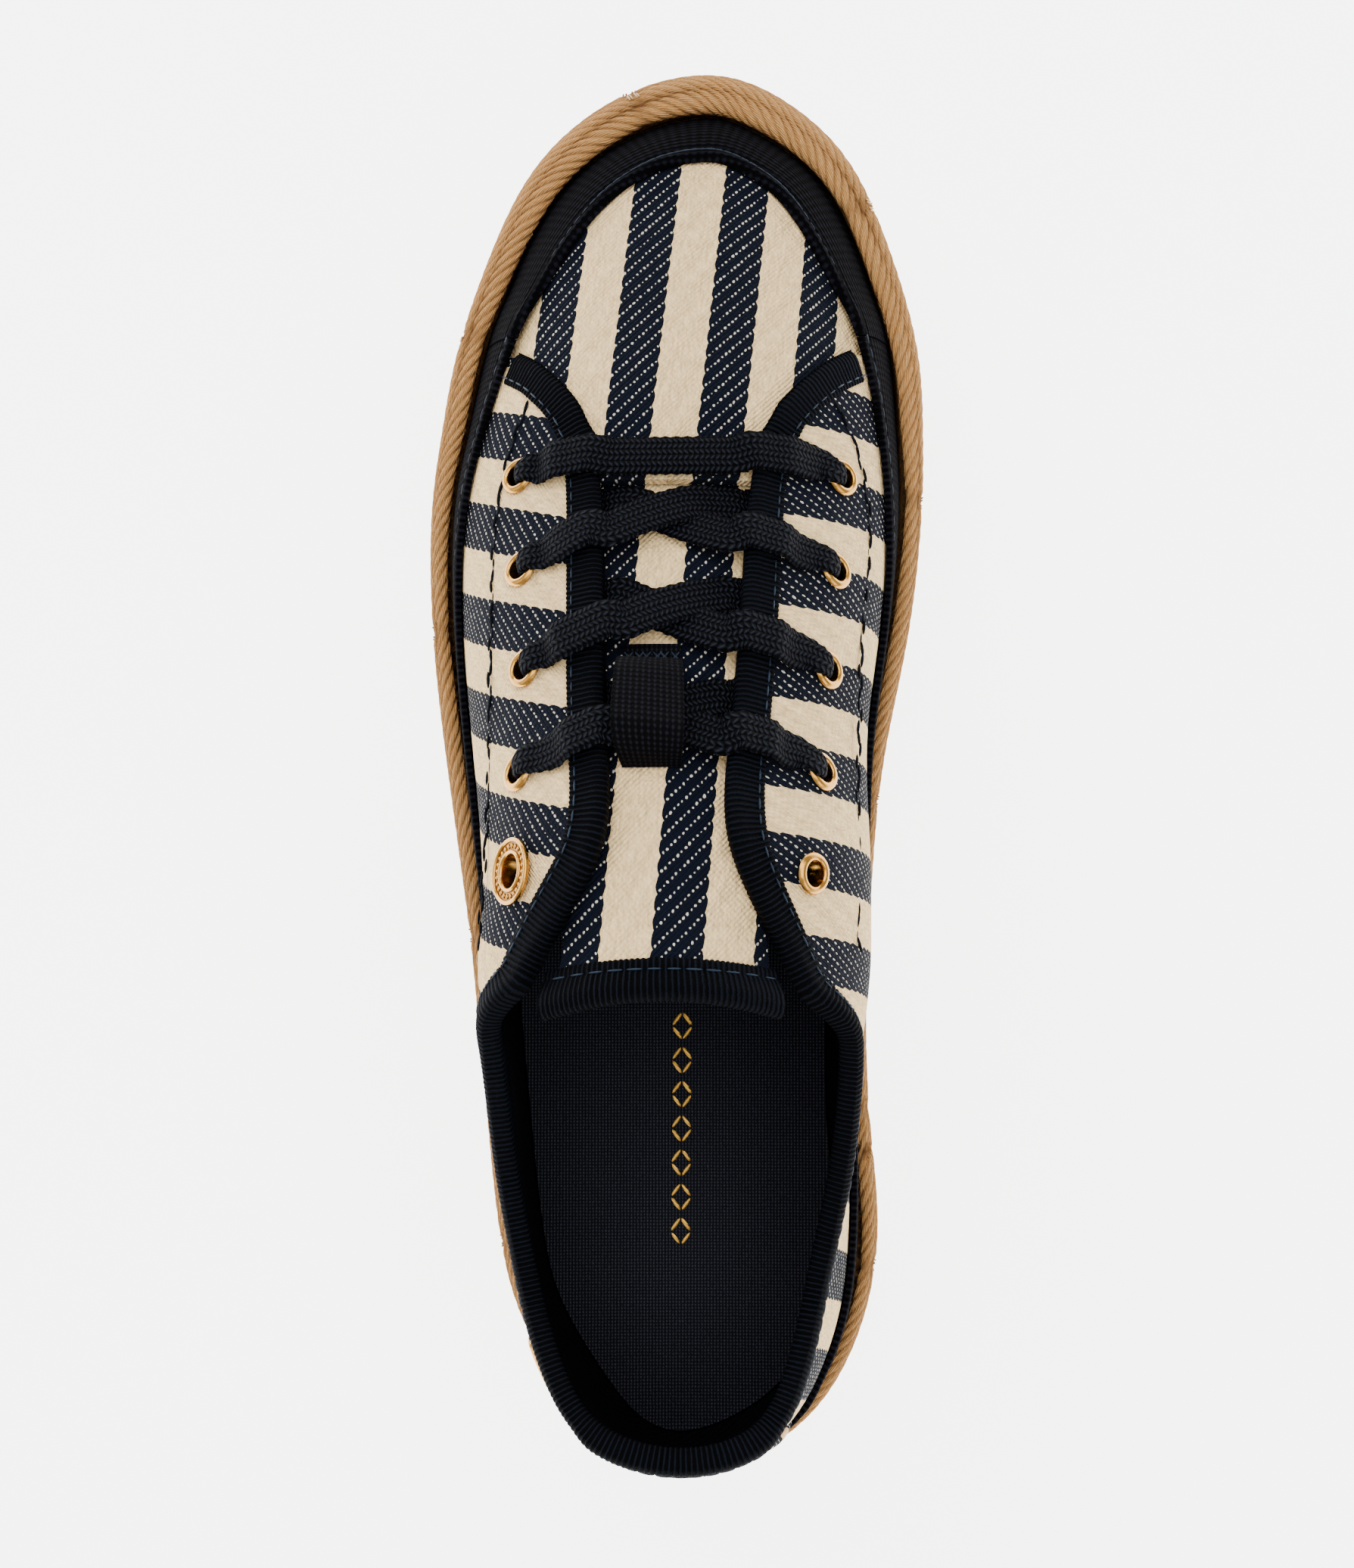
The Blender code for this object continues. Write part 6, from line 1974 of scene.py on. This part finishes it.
    def bar(self) -> Patch:
        """The first length, straight across over both throat edges and down through both eyelets."""
        row = EYELETS[0]
        ends = (row.lateral + FLANGE_RADIUS + 0.5, row.medial - FLANGE_RADIUS - 0.5)
        path = np.linspace(ends[0], ends[1], 17)
        y = np.interp(path, (ends[0], -12.0, 12.0, ends[1]),
                      (row.y + 0.6, row.y + 2.2, row.y + 2.4, row.y + 1.4))
        beside = abs(path) >= 12.5
        points, normals = np.zeros((len(path), 3)), np.zeros((len(path), 3))
        for k in np.flatnonzero(beside):
            points[k], normals[k] = self.over_quarter(path[k], y[k], 1.6)
        for k in np.flatnonzero(~beside):
            for values in (points, normals):
                values[k] = [np.interp(path[k], path[beside], values[beside, axis]) for axis in range(3)]
            points[k, :2] = path[k], y[k]
        rows = list(np.column_stack([points, normals, np.full((17, 2), (LACE_WIDTH / 2, LACE / 2))]))
        rows[0][6:] = rows[-1][6:] = 3.2, 0.6
        start = self.dive(row.lateral, row.y, -1, points[0] - points[2])[::-1]
        end = self.dive(row.medial, row.y, 1, points[-1] - points[-3])
        return self.swept(np.array(start + rows + end))

    def build(self) -> None:
        """Makes the bar and the crosses, the lateral strand on top in each."""
        settle(make_body("braid_bar", [self.bar()], [BRAID]), "navy_braid", "lace_bar")
        for number in (1, 2, 3):
            patches = [self.strand(number, -1, 0.7), self.strand(number, 1, -0.2)]
            piece = make_body(f"braid_cross_{number + 1}", patches, [BRAID])
            settle(piece, "navy_braid", f"lace_cross_{number + 1}")


@dataclass
class Hardware:
    """Plated eyelets, the wide beaded one at the top of the lateral row, and the heel plaque."""

    turns: int = 48

    def turned(self, profile: tuple, x: float, y: float, finish: int = 0) -> Patch:
        """A turned ring on the quarter's face.

        Args:
            profile: Radii and heights over the face, closed.
            x: Its middle in plan.
            y: Its middle in plan.
            finish: Which finish it wears.

        Returns:
            The ring's grid.
        """
        at, normal = LAST.stand(x, y)
        first = unit(np.cross(normal, (0.0, 1.0, 0.0)))
        second = np.cross(normal, first)
        angle = np.linspace(0, 2 * np.pi, self.turns + 1)[:, None]
        radius, height = np.array(profile + profile[:1]).T
        way = first * np.cos(angle)[..., None] + second * np.sin(angle)[..., None]
        points = at + way * radius[:, None] + normal * height[:, None]
        return Patch(points, finish=finish)

    def build(self) -> None:
        """Makes the eyelets and the plaque."""
        foot = -WALL - QUARTER_STEP + 0.2
        plain = ((2.1, foot), (2.1, 0.7), (2.2, 0.98), (2.45, 1.14), (2.8, 1.16), (3.15, 1.02), (3.4, 0.72),
                 (3.5, 0.4), (2.5, 0.38), (2.5, foot))
        patches, names = [], []
        for number, row in enumerate(EYELETS, start=1):
            patches.append(self.turned(plain, row.medial, row.y))
            names.append(f"eyelet_medial_{number}")
            if number < len(EYELETS):
                patches.append(self.turned(plain, row.lateral, row.y))
                names.append(f"eyelet_lateral_{number}")
        settle(make_body("plated_eyelets", patches, [GOLD], sharp=60), "gold_metal", *names)
        self.wide_ring()
        self.plaque()

    def wide_ring(self) -> None:
        """A flat ring between two raised rims, its dark band set with plain beads."""
        row = EYELETS[-1]
        foot = -WALL - QUARTER_STEP + 0.2
        outer = ((5.5, 0.4), (5.65, 0.8), (5.6, 1.1), (5.35, 1.28), (5.05, 1.25), (4.9, 1.05), (4.87, 0.85),
                 (4.87, 0.4))
        inner = ((2.8, foot), (2.8, 0.8), (2.88, 1.1), (3.1, 1.28), (3.35, 1.26), (3.52, 1.08), (3.56, 0.85),
                 (3.56, 0.4), (3.2, 0.38), (3.2, foot))
        band = ((3.46, 0.45), (3.46, 0.82), (4.95, 0.82), (4.95, 0.45))
        patches = [self.turned(outer, row.lateral, row.y), self.turned(inner, row.lateral, row.y),
                   self.turned(band, row.lateral, row.y, 1)]
        piece = make_body("wide_eyelet", patches, [GOLD, DARK_GOLD], sharp=60)
        settle(piece, "gold_metal", "eyelet_lateral_5")
        track = self.turned(((4.22, 0.9), (4.22, 1.0)), row.lateral, row.y).points[::2, 0][:-1]
        ups = [LAST.stand(row.lateral, row.y)[1]] * len(track)
        along = unit(np.roll(track, -1, axis=0) - track)
        beads = StitchRow(0.66, 0.9, 0.5, 0.0)
        beads.lay("wide_eyelet_beads", track, along, ups, GOLD, "gold_metal")

    @staticmethod
    def plaque() -> None:
        """A plain curved plate with eased edges on the lateral side of the heel."""
        across, up = np.meshgrid(np.linspace(-1, 1, 41), np.linspace(-1, 1, 25), indexing="ij")
        edge = np.maximum(abs(across) ** 24, abs(up) ** 16)
        a = PLAQUE_AT + across * (1 - 0.08 * up**4) * PLAQUE_LENGTH / 23.0
        v = PLAQUE_UP + up * (1 - 0.08 * across**4) * PLAQUE_HEIGHT / 104.0
        base = QUARTER_STEP + GAP
        low = LAST.layer(a, v, base)
        high = LAST.layer(a, v, base + PLAQUE_THICK - 0.35 * edge)
        grid = np.concatenate([low, high[:, ::-1], low[:, :1]], axis=1)
        piece = make_body("plain_plaque", [Patch(grid, capped=True)], [GOLD], sharp=40)
        settle(piece, "gold_metal", "heel_plaque")


@dataclass
class QuarterStitches:
    """The navy stitches beside each row of eyelets, which curve in beside the quarter's front."""

    pitch: float = 2.1
    waver: float = 0.3

    def build(self) -> None:
        """Lays both lines."""
        spots, ways, ups = [], [], []
        for column in (1, 2):
            rows = []
            for place in STAY_SEAM:
                rows.append(np.concatenate(LAST.stand(place[column], place[0], QUARTER_STEP + 0.14)))
            rows = threaded(np.array(rows), self.pitch)
            rows[:, 0] += self.waver * np.sin(np.arange(len(rows)) * 2.3)
            spots.append(rows[:, :3])
            ways.append(unit(np.gradient(rows[:, :3], axis=0)))
            ups.append(unit(rows[:, 3:]))
        row = StitchRow(2.9, 0.75, 0.5, 0.1)
        points, ways, ups = (np.concatenate(each) for each in (spots, ways, ups))
        row.lay("quarter_stitches", points, ways, ups, NAVY_THREAD, "cream_canvas")


@dataclass
class Studio:
    """Camera, floor and soft lights."""

    height: float = 420.0
    back: float = -21.07
    tilt: float = 2.66
    lens: float = 24 * 2705 / 2072

    def build(self) -> None:
        """Sets them up."""
        scene = bpy.context.scene
        camera = bpy.data.cameras.new("camera")
        camera.sensor_fit, camera.sensor_height, camera.lens = "VERTICAL", 24.0, self.lens
        camera.clip_start = 0.01
        eye = placed("camera", camera)
        eye.location = (0.0, self.back * MM, self.height * MM)
        eye.rotation_euler = (math.radians(self.tilt), 0.0, 0.0)
        scene.camera = eye

        mesh = bpy.data.meshes.new("floor")
        corners = [(-3, -3, 0), (3, -3, 0), (3, 3, 0), (-3, 3, 0)]
        mesh.from_pydata(corners, [], [(0, 1, 2, 3)])
        mesh.materials.append(FLOOR.material())
        floor = placed("floor", mesh)
        floor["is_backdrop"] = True

        for name, at, size, power in (
            ("overhead", (0.0, 0.25, 1.3), 1.5, 25.0),
            ("toe_side", (-0.6, 0.9, 0.8), 0.9, 10.0),
            ("heel_side", (0.7, -0.9, 0.8), 0.9, 7.0),
            ("lateral", (-1.1, -0.2, 0.6), 0.8, 2.5),
        ):
            light = bpy.data.lights.new(name, "AREA")
            light.energy, light.size = power, size
            lamp = placed(name, light)
            lamp.location = at
            lamp.rotation_euler = (-Vector(at)).to_track_quat("-Z", "Y").to_euler()
        world = bpy.data.worlds.new("studio")
        world.use_nodes = True
        world.node_tree.nodes["Background"].inputs["Color"].default_value = linear("#f3f5f8")
        world.node_tree.nodes["Background"].inputs["Strength"].default_value = 0.8
        scene.world = world


def main() -> None:
    """Builds each sub-assembly in turn."""
    for assembly in (
        Studio(), Sole(), Foxing(), Upper(), CollarBinding(), Tongue(), Insole(), Lacing(), Hardware(),
        QuarterStitches(),
    ):
        LOG.info("building %s", type(assembly).__name__)
        assembly.build()


if __name__ == "__main__":
    logging.basicConfig(level=logging.INFO, format="%(name)s: %(message)s")
    main()
    boxes = {"cad": CAD_BOX, "visual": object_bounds()}
    boxes = {key: [list(map(float, corner)) for corner in box] for key, box in boxes.items()}
